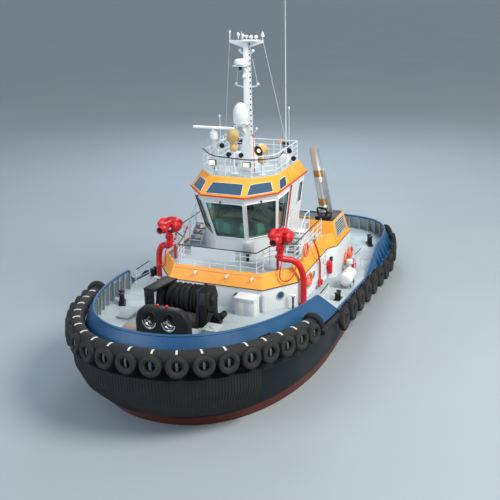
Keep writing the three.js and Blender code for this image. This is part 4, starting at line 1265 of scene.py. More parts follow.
@dataclass
class SideFenders:
    """D section strakes along the sides and round the stern, with the big tyres hung on them."""

    places: tuple[float, ...] = (2.5, 1.0, -0.45, -1.9, -3.35, -4.8, -6.25)
    out: float = 5.495
    lowered: float = -0.48
    stern_spacing: float = 1.16
    tyre: Tyre = Tyre(radius=0.55, width=0.3, hole=0.22, lugs=36)

    def build(self) -> None:
        """Builds the strakes and the tyres of both sides and the stern."""
        section = [(-0.06, -0.33), (0.1, -0.33), (0.145, -0.28), (0.148, -0.16), (0.1, -0.11), (-0.06, -0.11)]
        under = [(-0.3, -0.66), (0.12, -0.66), (0.19, -0.58), (0.19, -0.44), (0.12, -0.36), (-0.2, -0.36)]
        for side in Side:
            strake = Bench(f"side_strake_{side.label}")
            rings = []
            for x in (5.3, 2.4, 0.0, -3.0, -6.13, -6.806):
                rings.append([Vector((x, side.sign * (EDGE.half + out), EDGE.height(x) + up)) for out, up in section])
            strake.skin(rings)
            fore = [s for s in EDGE.run(True, 5.3, 0.3) if s.place.y * side.sign > 0 and s.place.x < 9.32]
            strake.skin([[s.at(out, up) for out, up in under] for s in fore])
            strake.done(MOULDED, replaces=f"side_fender_{side.label}", smooth=50)
            places = []
            for i, x in enumerate(self.places):
                centre = Vector((x, side.sign * self.out, EDGE.height(x) + self.lowered))
                out = Vector((0.06 * math.sin(3.1 * i), side.sign, 0.07 + 0.025 * math.cos(2.3 * i)))
                places.append((centre, out, Matrix.Rotation(i * 0.9, 4, "Z")))
            tyre_row(f"side_tyres_{side.label}", self.tyre, places)
            self.chains(side)
        strake = Bench("stern_strake")
        strake.skin([[s.at(out, up) for out, up in section] for s in EDGE.run(False, -6.83, 0.25)])
        strake.done(MOULDED, replaces="stern_fender", smooth=50)
        dense = EDGE.run(False, -6.83, 0.02)
        places = []
        for k in range(-7, 8):
            station = min(dense, key=lambda s: abs(s.run - k * self.stern_spacing))
            raised = min(1.0, max(0.0, (-7.4 - station.place.x) / 3))
            centre = station.at(0.225, self.lowered + (0.06 - self.lowered) * raised)
            places.append((centre, station.out + Vector((0, 0, 0.1)), Matrix.Rotation(k * 0.9, 4, "Z")))
        tyre_row("stern_tyres", self.tyre, places)

    def chains(self, side: Side) -> None:
        """Hangs each side tyre on a short chain from the deck edge.

        Args:
            side: The side that it is on.
        """
        chains = Bench(f"tyre_chains_{side.label}", side=side)
        for x in self.places:
            z = EDGE.height(x) + 0.02
            for offset in (-0.13, 0.13):
                for k in range(4):
                    centre = (x + offset * (1 + 0.3 * k), 5.3 + 0.03 * k, z - 0.07 * k)
                    chains.hoop(centre, (1, 0, 0.2) if k % 2 else (0.2, 1, 0), 0.032, 0.011, sides=12)
        chains.done(STEEL)


# ---- houses


@dataclass(frozen=True)
class Wall:
    """A flat wall between a foot line and a head line, seen from outside."""

    foot_a: Point
    foot_b: Point
    head_a: Point
    head_b: Point

    def at(self, across: float, up: float, proud: float = 0.0) -> Vector:
        """Gives a point at shares of the wall's width and height, so far proud of it."""
        low = Vector(self.foot_a).lerp(Vector(self.foot_b), across)
        high = Vector(self.head_a).lerp(Vector(self.head_b), across)
        return low.lerp(high, up) + self.normal() * proud

    def normal(self) -> Vector:
        """Gives the wall's outward direction."""
        return (Vector(self.foot_b) - Vector(self.foot_a)).cross(Vector(self.head_a) - Vector(self.foot_a)).normalized()

    def pane(self, edge_a: float, edge_b: float, low: float, high: float) -> list[Vector]:
        """Gives the corners of a pane set in from the wall's ends, between two heights.

        Args:
            edge_a: Its distance from the first end, in metres.
            edge_b: Its distance from the second end, in metres.
            low: Height of its sill.
            high: Height of its head.

        Returns:
            Four corners, from the first end's sill round.
        """
        rise = self.head_a[2] - self.foot_a[2]
        corners = []
        for z, order in ((low, (0, 1)), (high, (1, 0))):
            up = (z - self.foot_a[2]) / rise
            width = (self.at(1, up) - self.at(0, up)).length
            ends = (edge_a / width, 1 - edge_b / width)
            corners += [self.at(ends[k], up) for k in order]
        return corners


def framed_pane(seals: Bench, frames: Bench, corners: list[Vector], out: Vector) -> None:
    """Adds the black gasket and the raised frame round a window.

    Args:
        seals: The bench of gaskets.
        frames: The bench of frames.
        corners: The window's corners in order.
        out: The wall's outward direction.
    """
    middle = sum(corners, Vector()) / len(corners)
    inner = [c.lerp(middle, 0.01) + out * -0.012 for c in corners]
    outer = [c + (c - middle).normalized() * 0.035 + out * 0.004 for c in corners]
    seals.tube(rounded(inner, 0.06), 0.026, closed=True)
    frames.tube(rounded(outer, 0.08), 0.034, closed=True)


def rounded(corners: list[Vector], radius: float, steps: int = 4) -> list[Vector]:
    """Rounds the corners of a closed outline.

    Args:
        corners: The outline's corners.
        radius: How far each corner is cut back.
        steps: Steps round each corner.

    Returns:
        The rounded outline.
    """
    line = []
    for i, corner in enumerate(corners):
        before, after = corners[i - 1], corners[(i + 1) % len(corners)]
        start = corner + (before - corner).normalized() * radius
        end = corner + (after - corner).normalized() * radius
        for k in range(steps + 1):
            t = k / steps
            line.append((1 - t) ** 2 * start + 2 * t * (1 - t) * corner + t * t * end)
    return line


@dataclass
class Deckhouse:
    """The deckhouse with its leaning yellow coaming, doors, lights and wall fittings."""

    port_lights: tuple[tuple[Point, Point], ...] = (
        ((3.68, 2.865, 3.05), (0.633, 0.774, 0)),
        ((4.39, 1.1, 3.05), (1, 0, 0)),
        ((0.6, 3.44, 2.95), (0, 1, 0)),
        ((-4.9, 1.6, 2.7), (-1, 0, 0)),
    )
    buoys: tuple[Point, ...] = ((1.36, 3.5, 3.0), (-4.05, 3.86, 2.2), (-4.6, 3.92, 2.34), (1.66, 3.42, 4.56))
    wall: float = 3.445
    coaming: float = 4.0
    gutter: float = 3.475
    lamps: tuple[float, ...] = (-1.0, 0.55, 1.75)

    def build(self) -> None:
        """Builds the walls, the coaming and what hangs on them."""
        for name in ("front", "port", "starboard", "back"):
            dress(f"deckhouse_{name}", WHITE, bevel=0.01)
        skin = node_copy("boat_deck", "boat_deck_skin", whole=False)
        deck = finish_piece(skin, YELLOW, replaces="boat_deck", smooth=20)
        paint_faces(deck, DECK, lambda centre, normal: normal.z > 0.9 and centre.z < 4.05)
        paint_faces(deck, WHITE, self.inner)
        self.band()
        self.lights()
        for side in Side:
            self.door(side)
        self.lifebuoys()
        self.wall_gear()

    def inner(self, centre: Vector, normal: Vector) -> bool:
        """Says whether a face of the coaming looks inboard."""
        return abs(normal.z) < 0.3 and centre.z > self.coaming and normal.xy.dot(centre.xy) < 0

    def band(self) -> None:
        """Builds a thin black line under the coaming, and the small lamps on it."""
        gutter, lamps = Bench("coaming_gutter"), Bench("coaming_lamps")
        port = [(4.4, 2.29), (2.99, 3.45), (-1.75, 3.45), (-2.28, 3.79), (-4.9, 3.79)]
        gutter.tube([(x, y, self.gutter) for x, y in across_boat(port)], 0.02, sides=6)
        for y in self.lamps:
            lamps.rod((4.2, y, 3.92), (4.34, y, 3.87), 0.05, sides=14)
            lamps.ball((4.35, y, 3.87), 0.045)
        gutter.done(SEAL)
        lamps.done(GEL)

    def lights(self) -> None:
        """Builds the round lights with their grey rims and bolts, and dark glass."""
        rims, panes = Bench("port_light_rims"), Bench("port_light_panes")
        for side in Side:
            rims.stand(side=side)
            panes.stand(side=side)
            for centre, out in self.port_lights:
                place, axis = Vector(centre), Vector(out)
                across, other = axes_along(axis)
                rims.hoop(place + axis * 0.012, out, 0.185, 0.028)
                for c, s in circle(8, 0.185):
                    bolt = place + across * c + other * s + axis * 0.036
                    rims.rod(bolt, bolt + axis * 0.014, 0.013, sides=6)
                panes.lathe([(0.17, 0.004), (0.17, 0.016), (0.1, 0.02)], centre, out)
        rims.done(GREY)
        panes.done(SHADE_PAINTED_GLASS)

    def door(self, side: Side) -> None:
        """Builds a weathertight door with its dogs, hinges and coaming.

        Args:
            side: The side that it is on.
        """
        body = f"deckhouse_door_{side.label}"
        dress(body, WHITE, bevel=0.008, body=body)
        surround, dogs = (Bench(f"door_{part}_{side.label}", (0, self.wall, 0), side) for part in ("coaming", "dogs"))
        corners = [Vector((x, 0, z)) for x, z in ((-1.5, 2.04), (-0.75, 2.04), (-0.75, 3.455), (-1.5, 3.455))]
        surround.tube(rounded(corners, 0.13), 0.026, closed=True)
        for z in (2.3, 2.75, 3.2):
            surround.rod((-0.775, 0.005, z - 0.06), (-0.775, 0.005, z + 0.06), 0.022, sides=10)
            dogs.rod((-1.38, -0.017, z), (-1.38, 0.023, z), 0.024, sides=12)
            dogs.tube([(-1.38, 0.015, z), (-1.33, 0.03, z + 0.015), (-1.2, 0.03, z + 0.07)], 0.011)
        dogs.lathe([(0.12, 0), (0.12, 0.014), (0.1, 0.022)], (-1.12, -0.015, 3.0), ABEAM)
        surround.done(WHITE)
        dogs.done(GREY, body=body)

    def lifebuoys(self) -> None:
        """Hangs the lifebuoys with their grab lines and white bands."""
        rings, bands = Bench("lifebuoys"), Bench("lifebuoy_bands")
        axis = Vector(ABEAM)
        across, other = axes_along(axis)
        for side in Side:
            for place in self.buoys:
                rings.stand(place, side)
                bands.stand(place, side)
                rings.hoop((0, 0, 0), ABEAM, 0.29, 0.058, sides=32)
                for k in range(4):
                    angle = math.tau * (k + 0.5) / 4
                    turn, after, following = (
                        across * math.cos(angle + on) + other * math.sin(angle + on) for on in (0, 0.785, 1.57)
                    )
                    bands.hoop(turn * 0.29, axis.cross(turn), 0.062, 0.008, sides=14)
                    bands.tube(arc([turn * 0.35, after * 0.385, following * 0.35], 4), 0.007, sides=6)
        rings.done(ORANGE)
        bands.done(WEBBING)

    def wall_gear(self) -> None:
        """Builds the hose racks, vents, pipes and wall boxes."""
        red, white, dark = Bench("fire_boxes"), Bench("wall_vents"), Bench("wall_dark_gear")
        bottle = [(0.05, 0), (0.1, 0.03), (0.11, 0.4), (0.06, 0.5), (0.04, 0.56)]
        riser = [(0.25, 3.32, 4.6), (0.25, 3.56, 4.0), (0.0, 3.56, 3.5), (-0.25, 3.52, 3.2), (-0.25, 3.52, 2.2)]
        valve = [(0.06, -0.1), (0.1, -0.06), (0.1, 0.1), (0.14, 0.12), (0.14, 0.15), (0.05, 0.2)]
        for side in Side:
            for bench in (red, white, dark):
                bench.stand(side=side)
            for k in range(3):
                red.lathe(bottle, (-3.9 - 0.3 * k, 4.15, 1.5))
            red.hoop((-1.75, 3.52, 2.62), ABEAM, 0.18, 0.05)
            red.lathe([(0.08, -0.4), (0.12, -0.36), (0.12, 0.18), (0.05, 0.28)], (-1.75, 3.6, 2.55))
            red.tube(arc(riser, 3), 0.045, sides=10)
            red.lathe(valve, (-0.25, 3.56, 2.2))
            red.rod((-0.25, 3.56, 2.25), (0.28, 3.62, 2.25), 0.05)
            red.hoop((0.1, 3.62, 2.42), ABEAM, 0.11, 0.018)
            dark.block((-2.12, 3.47, 2.72), (-1.88, 3.65, 2.98))
            dark.rod((3.5, 3.4, 2.37), (3.5, 3.4, 3.0), 0.045)
            white.rod((3.5, 3.24, 3.03), (3.5, 3.56, 3.03), 0.06)
            white.lathe([(0.08, 0), (0.08, 0.5), (0.17, 0.53), (0.17, 0.7), (0.05, 0.75)], (-3.4, 4.2, 1.65))
            white.tube([(4.47, 2.4, 2.4), (4.47, 2.4, 3.1), (4.42, 2.4, 3.3)], 0.035)
            white.tube([(-5.0, 3.0, 1.5), (-5.0, 3.0, 3.3)], 0.04)
        red.done(RED, bevel=0.008)
        white.done(WHITE)
        dark.done(DARK, bevel=0.008)


SILL = ((2.42, 0.79), (1.18, 1.84), (-2.1, 1.84))
WALL_HEAD = ((3.19, 1.02), (1.89, 2.13), (-2.1, 2.13))
VISOR = ((3.27, 1.06), (1.9, 2.2), (-2.26, 2.2))
ROOF = ((2.14, 1.0), (1.2, 1.88), (-1.94, 1.88))


@dataclass(frozen=True)
class Storey:
    """Walls between a foot plan and a head plan, each given by its port corners from the front."""

    foot: tuple[Pair, ...]
    head: tuple[Pair, ...]
    low: float
    high: float

    def wall(self, a: int, b: int) -> Wall:
        """Gives the wall between two numbered corners.

        Args:
            a: The first corner; negative numbers are starboard, -1 at the front.
            b: The second corner.

        Returns:
            The wall.
        """
        ends = []
        for plan, z in ((self.foot, self.low), (self.head, self.high)):
            for k in (a, b):
                x, y = plan[k] if k >= 0 else plan[-k - 1]
                ends.append((x, y if k >= 0 else -y, z))
        return Wall(*ends)


CABIN = Storey(SILL, WALL_HEAD, 5.0, 7.18)
VISOR_SLOPE = Storey(VISOR, ROOF, 7.255, 7.885)


@dataclass
class Wheelhouse:
    """The wheelhouse: leaning glazed walls under a yellow visor roof, fitted out inside."""

    floor: float = 5.0
    side_out: float = 1.84
    side_lean: float = 0.133
    low: float = 5.09
    high: float = 6.87
    post: float = 0.095
    visor_glass: tuple[tuple[int, int, float, float, float, float], ...] = (
        (-1, 0, 0.094, 0.915, 0.132, 0.865), (0, 1, 0.045, 0.83, 0.04, 0.75), (1, 2, 0.03, 0.25, 0.04, 0.27),
        (-2, -1, 0.18, 0.94, 0.26, 0.9), (-3, -2, 0.75, 0.97, 0.73, 0.96),
    )

    def build(self) -> None:
        """Builds the shell, the windows, the roof and the fittings inside."""
        for name in ("front", "port", "starboard", "back"):
            dress(f"wheelhouse_{name}", WHITE, bevel=0.008)
        dress("wheelhouse_glass", GLASS, bevel=0)
        self.windows()
        self.wipers()
        self.roof()
        self.door()
        self.inside()
        pipe = Bench("wheelhouse_red_pipe")
        wall = [(z, self.side_wall(z) + 0.06) for z in (4.1, 4.7, 5.0, 5.8, 6.5, 7.14)]
        pipe.tube([(0.05, y, z) for z, y in wall], 0.032, sides=10)
        for z, y in wall[1:]:
            pipe.hoop((0.05, y, z - 0.05), (0, 0, 1), 0.036, 0.012, sides=14)
        pipe.done(RED)

    def windows(self) -> None:
        """Builds the gaskets and frames of every window."""
        seals, frames = Bench("window_gaskets"), Bench("window_frames")
        for a, b in ((-1, 0), (0, 1), (-2, -1)):
            wall = CABIN.wall(a, b)
            framed_pane(seals, frames, wall.pane(self.post, self.post, self.low, self.high), wall.normal())
        low, high = self.low, self.high
        edges = [1.18 + 0.71 * (z - 5) / 2.18 - 0.1 for z in (low, high)]
        fore = [(edges[0], low), (0.2, low), (0.2, high), (edges[1], high)]
        aft = [(-1.35, 5.85), (-1.9, 5.85), (-1.9, high), (-1.35, high)]
        for side in Side:
            seals.stand(side=side)
            frames.stand(side=side)
            for corners in (fore, aft):
                pane = [Vector((x, self.side_wall(z), z)) for x, z in corners]
                framed_pane(seals, frames, pane, Vector((0, 1, -0.13)).normalized())
        seals.stand()
        frames.stand()
        for y0, y1 in ((-1.65, -0.7), (0.75, 1.65)):
            corners = [Vector((-2.1, y, z)) for y, z in ((y0, 5.5), (y1, 5.5), (y1, 6.81), (y0, 6.81))]
            framed_pane(seals, frames, corners, Vector((-1, 0, 0)))
        seals.done(SEAL, smooth=60)
        frames.done(WHITE, smooth=60)

    def side_wall(self, z: float) -> float:
        """Gives how far out a side wall is at a height."""
        return self.side_out + self.side_lean * max(0.0, z - self.floor)

    def wipers(self) -> None:
        """Builds a wiper on each window of the front."""
        wipers = Bench("window_wipers")
        for a, b, hub, tip in ((-1, 0, 0.42, 0.3), (0, 1, 0.5, 0.28), (-2, -1, 0.5, 0.7)):
            wall = CABIN.wall(a, b)
            top, end = wall.at(hub, 0.88, 0.06), wall.at(tip, 0.62, 0.035)
            wipers.rod(wall.at(hub, 0.9), wall.at(hub, 0.9, 0.08), 0.035, sides=12)
            wipers.tube([wall.at(hub, 0.9, 0.07), top.lerp(end, 0.5), end], 0.009)
            wipers.tube([end - (end - top) * 0.3, end, end + (end - top) * 0.45], 0.013)
        wipers.done(DARK)

    def roof(self) -> None:
        """Builds the roof with its visor glass, its red edge and its coamed top."""
        roof = dress("wheelhouse_roof", YELLOW, bevel=0.012)
        paint_faces(roof, DECK, lambda centre, normal: normal.z > 0.95 and centre.z > 7.8)
        paint_faces(roof, WHITE, self.inward)
        panes, rims, edge = Bench("visor_panes"), Bench("visor_pane_rims"), Bench("visor_edge")
        for a, b, start, end, head_start, head_end in self.visor_glass:
            slope = VISOR_SLOPE.wall(a, b)
            shares = ((start, 0.1), (end, 0.1), (head_end, 0.65), (head_start, 0.65))
            outline = rounded([slope.at(across, up) for across, up in shares], 0.05, 3)
            panes.plate(outline, slope.normal() * 0.034)
            rims.tube([p + slope.normal() * 0.026 for p in outline], 0.013, sides=6, closed=True)
        for a, b in ((0, 1), (1, 2), (-2, -1), (-3, -2), (-1, 0)):
            slope = VISOR_SLOPE.wall(a, b)
            edge.tube([slope.at(0, 0), slope.at(1, 0)], 0.034)
            for share in (0.0, 0.995):
                edge.tube([slope.at(share, 0.0, 0.004), slope.at(share, 0.02, 0.004)], 0.02)
        hatch = VISOR_SLOPE.wall(1, 2)
        corners = [hatch.at(s, u, 0.002) for s, u in ((0.4, 0.15), (0.6, 0.15), (0.6, 0.85), (0.4, 0.85))]
        hatches = Bench("visor_hatches")
        for side in Side:
            hatches.stand(side=side)
            hatches.plate(rounded(corners, 0.03, 2), hatch.normal() * 0.03)
        hatches.done(YELLOW, bevel=0.006)
        panes.done(SHADE_PAINTED_GLASS)
        rims.done(WHITE)
        edge.done(TRIM)

    def inward(self, centre: Vector, normal: Vector) -> bool:
        """Says whether a roof face looks down or into the cabin."""
        inboard = normal.x * (centre.x - 0.2) + normal.y * centre.y < 0
        return normal.z < -0.3 or (centre.z < 7.82 and inboard and normal.z < 0.2)

    def door(self) -> None:
        """Builds the aft door with its window, handle and hinges."""
        body = "wheelhouse_door"
        dress(body, WHITE, body=body)
        seals, pane, iron = Bench("aft_door_gasket"), Bench("aft_door_pane"), Bench("aft_door_handle")
        corners = [Vector((-2.095, y, z)) for y, z in ((-0.42, 5.25), (0.0, 5.25), (0.0, 6.1), (-0.42, 6.1))]
        outline = rounded(corners, 0.08)
        seals.tube(outline, 0.018, closed=True)
        pane.plate(outline, (-0.008, 0, 0))
        iron.tube([(-2.09, 0.07, 5.02), (-2.15, 0.07, 5.02), (-2.15, -0.06, 5.02)], 0.012)
        iron.block((-2.1, 0.04, 4.94), (-2.093, 0.1, 5.14))
        seals.done(SEAL, body=body)
        pane.done(SHADE_PAINTED_GLASS, body=body)
        iron.done(STEEL, body=body)

    def inside(self) -> None:
        """Builds the desk with its screens and levers, and the helm chair."""
        dress("console", TEAL, bevel=0.015)
        backs, screens, levers = Bench("desk_backs"), Bench("desk_screens"), Bench("desk_levers")
        for y in (-1.05, -0.42, 0.42, 1.05):
            x, turn = 1.9 - 0.75 * max(0.0, abs(y) - 0.5), math.copysign(38, y) if abs(y) > 0.6 else 0
            backs.block((x - 0.3, y - 0.17, 4.86), (x + 0.02, y + 0.17, 5.52), turn)
            screens.block((x - 0.36, y - 0.15, 5.22), (x - 0.31, y + 0.15, 5.46), turn)
        for y in (-0.75, 0.75):
            levers.rod((1.05, y, 4.87), (1.05, y, 4.95), 0.05, 0.04)
            levers.rod((1.05, y, 4.94), (1.0, y, 5.08), 0.012)
            levers.ball((0.995, y, 5.1), 0.03)
        backs.done(TEAL, bevel=0.012)
        screens.done(DARK, bevel=0.008)
        levers.done(BLACK)
        HelmChair().build()


@dataclass
class HelmChair:
    """The helmsman's chair on its pedestal, with stuffed seat and back pads and tube arms."""

    place: Point = (0.35, 0.0, 4.0)
    pads: tuple[tuple[str, Point, Point], ...] = (
        ("seat", (0.1, -0.25, 4.52), (0.6, 0.25, 4.66)),
        ("back", (0.05, -0.24, 4.7), (0.19, 0.24, 5.24)),
    )

    def build(self) -> None:
        """Builds the pedestal and its pads."""
        pedestal = Bench("helm_chair_stand", self.place)
        pedestal.lathe([(0.26, 0.0), (0.26, 0.03), (0.1, 0.06), (0.06, 0.1), (0.055, 0.3), (0.075, 0.31), (0.075, 0.5)])
        pedestal.block((-0.2, -0.2, 0.48), (0.2, 0.2, 0.525))
        pedestal.tube([(-0.25, 0, 0.5), (-0.29, 0, 0.7), (-0.28, 0, 1.1)], 0.03)
        for side in Side:
            pedestal.stand(self.place, side)
            pedestal.tube([(-0.23, 0.24, 0.6), (-0.23, 0.255, 0.84), (0.07, 0.255, 0.84)], 0.018)
        pedestal.done(DARK, replaces="helm_chair", bevel=0.004)
        for name, low, high in self.pads:
            self.pad(name, Vector(low), Vector(high))

    def pad(self, name: str, low: Vector, high: Vector) -> None:
        """Builds one pad: a crowned closed form, pulled in at its seams.

        Args:
            name: The pad's name.
            low: Its lowest corner.
            high: Its highest corner.
        """
        bench = Bench(f"chair_{name}_pad")
        bench.block(low, high)
        bpy.ops.mesh.subdivide(number_cuts=17)
        mesh = bmesh.from_edit_mesh(bench.piece.data)
        middle, half = (low + high) / 2, (high - low) / 2
        thin = min(range(3), key=lambda i: half[i])
        wide = [i for i in range(3) if i != thin]
        for vert in mesh.verts:
            share = [(vert.co[i] - middle[i]) / half[i] for i in range(3)]
            edge = max(abs(share[i]) for i in wide)
            crown = (1 - abs(share[wide[0]]) ** 3) * (1 - abs(share[wide[1]]) ** 3)
            seam = 1 - 0.16 * math.exp(-(((abs(share[wide[0]]) - 0.55) / 0.05) ** 2))
            fill = (0.5 + 0.5 * crown**0.6) * seam
            vert.co[thin] = middle[thin] + share[thin] * half[thin] * fill
            for i in wide:
                corner = 1 - 0.05 * (abs(share[wide[0]] * share[wide[1]])) ** 3
                puff = 1 - 0.06 * abs(share[thin]) ** 2 * edge
                vert.co[i] = middle[i] + share[i] * half[i] * corner * puff
        bmesh.update_edit_mesh(bench.piece.data)
        pad = bench.done(HIDE, smooth=80)


@dataclass
class Guards:
    """Post and rail guards round the boat deck and the wheelhouse roof."""

    boat_rail: tuple[tuple[float, float], ...] = ((4.071, 1.9), (3.05, 2.15), (2.5, 2.75), (2.4, 3.121), (-1.7, 3.121))
    boat_deck_top: float = 4.1183
    boat_height: float = 0.96
    roof_top: float = 7.8853
    roof_height: float = 0.95

    def build(self) -> None:
        """Builds both guards, the whip aerial and the mast stays' guard ladder."""
        self.boat_deck()
        self.roof()

    def boat_deck(self) -> None:
        """Builds the guard along the front and sides of the boat deck."""
        top, white = Bench("boat_deck_handrail"), Bench("boat_deck_guard")
        z = self.boat_deck_top
        line = across_boat(self.boat_rail)
        top.tube([(x, y, z + self.boat_height - 0.018) for x, y in line], 0.024, sides=10)
        for share in (0.24, 0.5, 0.75):
            white.tube([(x, y, z + self.boat_height * share) for x, y in line], 0.014)
        posts = [(4.071, 1.9 - 3.8 * k / 5) for k in range(6)]
        for side in Side:
            posts += [(2.4 - 4.1 * k / 6, side.sign * 3.121) for k in range(7)]
            posts += [(x, side.sign * y) for x, y in ((3.56, 2.025), (3.05, 2.15), (2.5, 2.75))]
        for x, y in posts:
            white.rod((x, y, z), (x, y, z + self.boat_height - 0.03), 0.021, sides=10)
            white.rod((x, y, z), (x, y, z + 0.02), 0.05, sides=12)
        board = ((-1.25, 0.4), (0.9, 0.4), (0.9, 0.93), (-1.25, 0.93))
        white.plate([(4.09, y, z + up) for y, up in board], (0.012, 0, 0))
        top.done(BLACK)
        white.done(WHITE, replaces="boat_deck_rail")

    def roof(self) -> None:
        """Builds the guard round the roof, its ladder head and the whip aerial."""
        guard, whip = Bench("roof_guard"), Bench("whip_aerial")
        port = [(2.08, 0.965), (1.18, 1.815), (-1.88, 1.815)]
        line = across_boat(port)
        z = self.roof_top
        for share, radius in ((1, 0.021), (0.74, 0.013), (0.5, 0.013), (0.26, 0.013)):
            guard.tube([(x, y, z + self.roof_height * share - 0.018) for x, y in line], radius, closed=True)
        posts = [(2.08, y) for y in (-0.965, -0.32, 0.32, 0.965)] + [(-1.88, y) for y in (-1.815, -0.6, 0.6, 1.815)]
        for side in Side:
            posts += [(1.63, side.sign * 1.39), *((1.18 - 0.76 * k, side.sign * 1.815) for k in range(5))]
        for x, y in posts:
            guard.rod((x, y, z), (x, y, z + self.roof_height), 0.02, sides=8)
        ladder = [(x, -1.95) for x in (-1.5, -1.05)]
        for x, y in ladder:
            guard.tube([(x, y, 7.3), (x, y, 8.9), (x, y + 0.14, 9.05), (x, y + 0.3, 8.85)], 0.018)
        for k in range(6):
            guard.tube([(-1.5, -1.95, 7.5 + 0.26 * k), (-1.05, -1.95, 7.5 + 0.26 * k)], 0.012)
        guard.done(WHITE, replaces="roof_rail")
        whip.rod((0.24, 1.98, 8.35), (0.24, 1.98, 8.95), 0.03, 0.026, sides=12)
        whip.rod((0.24, 1.98, 8.9), (0.24, 1.98, 12.5), 0.022, 0.017, sides=10)
        whip.rod((0.24, 1.98, 12.45), (0.24, 1.98, 17.2), 0.017, 0.011, sides=8)
        whip.block((0.2, 1.8, 8.75), (0.28, 2.01, 8.85))
        whip.done(GEL)


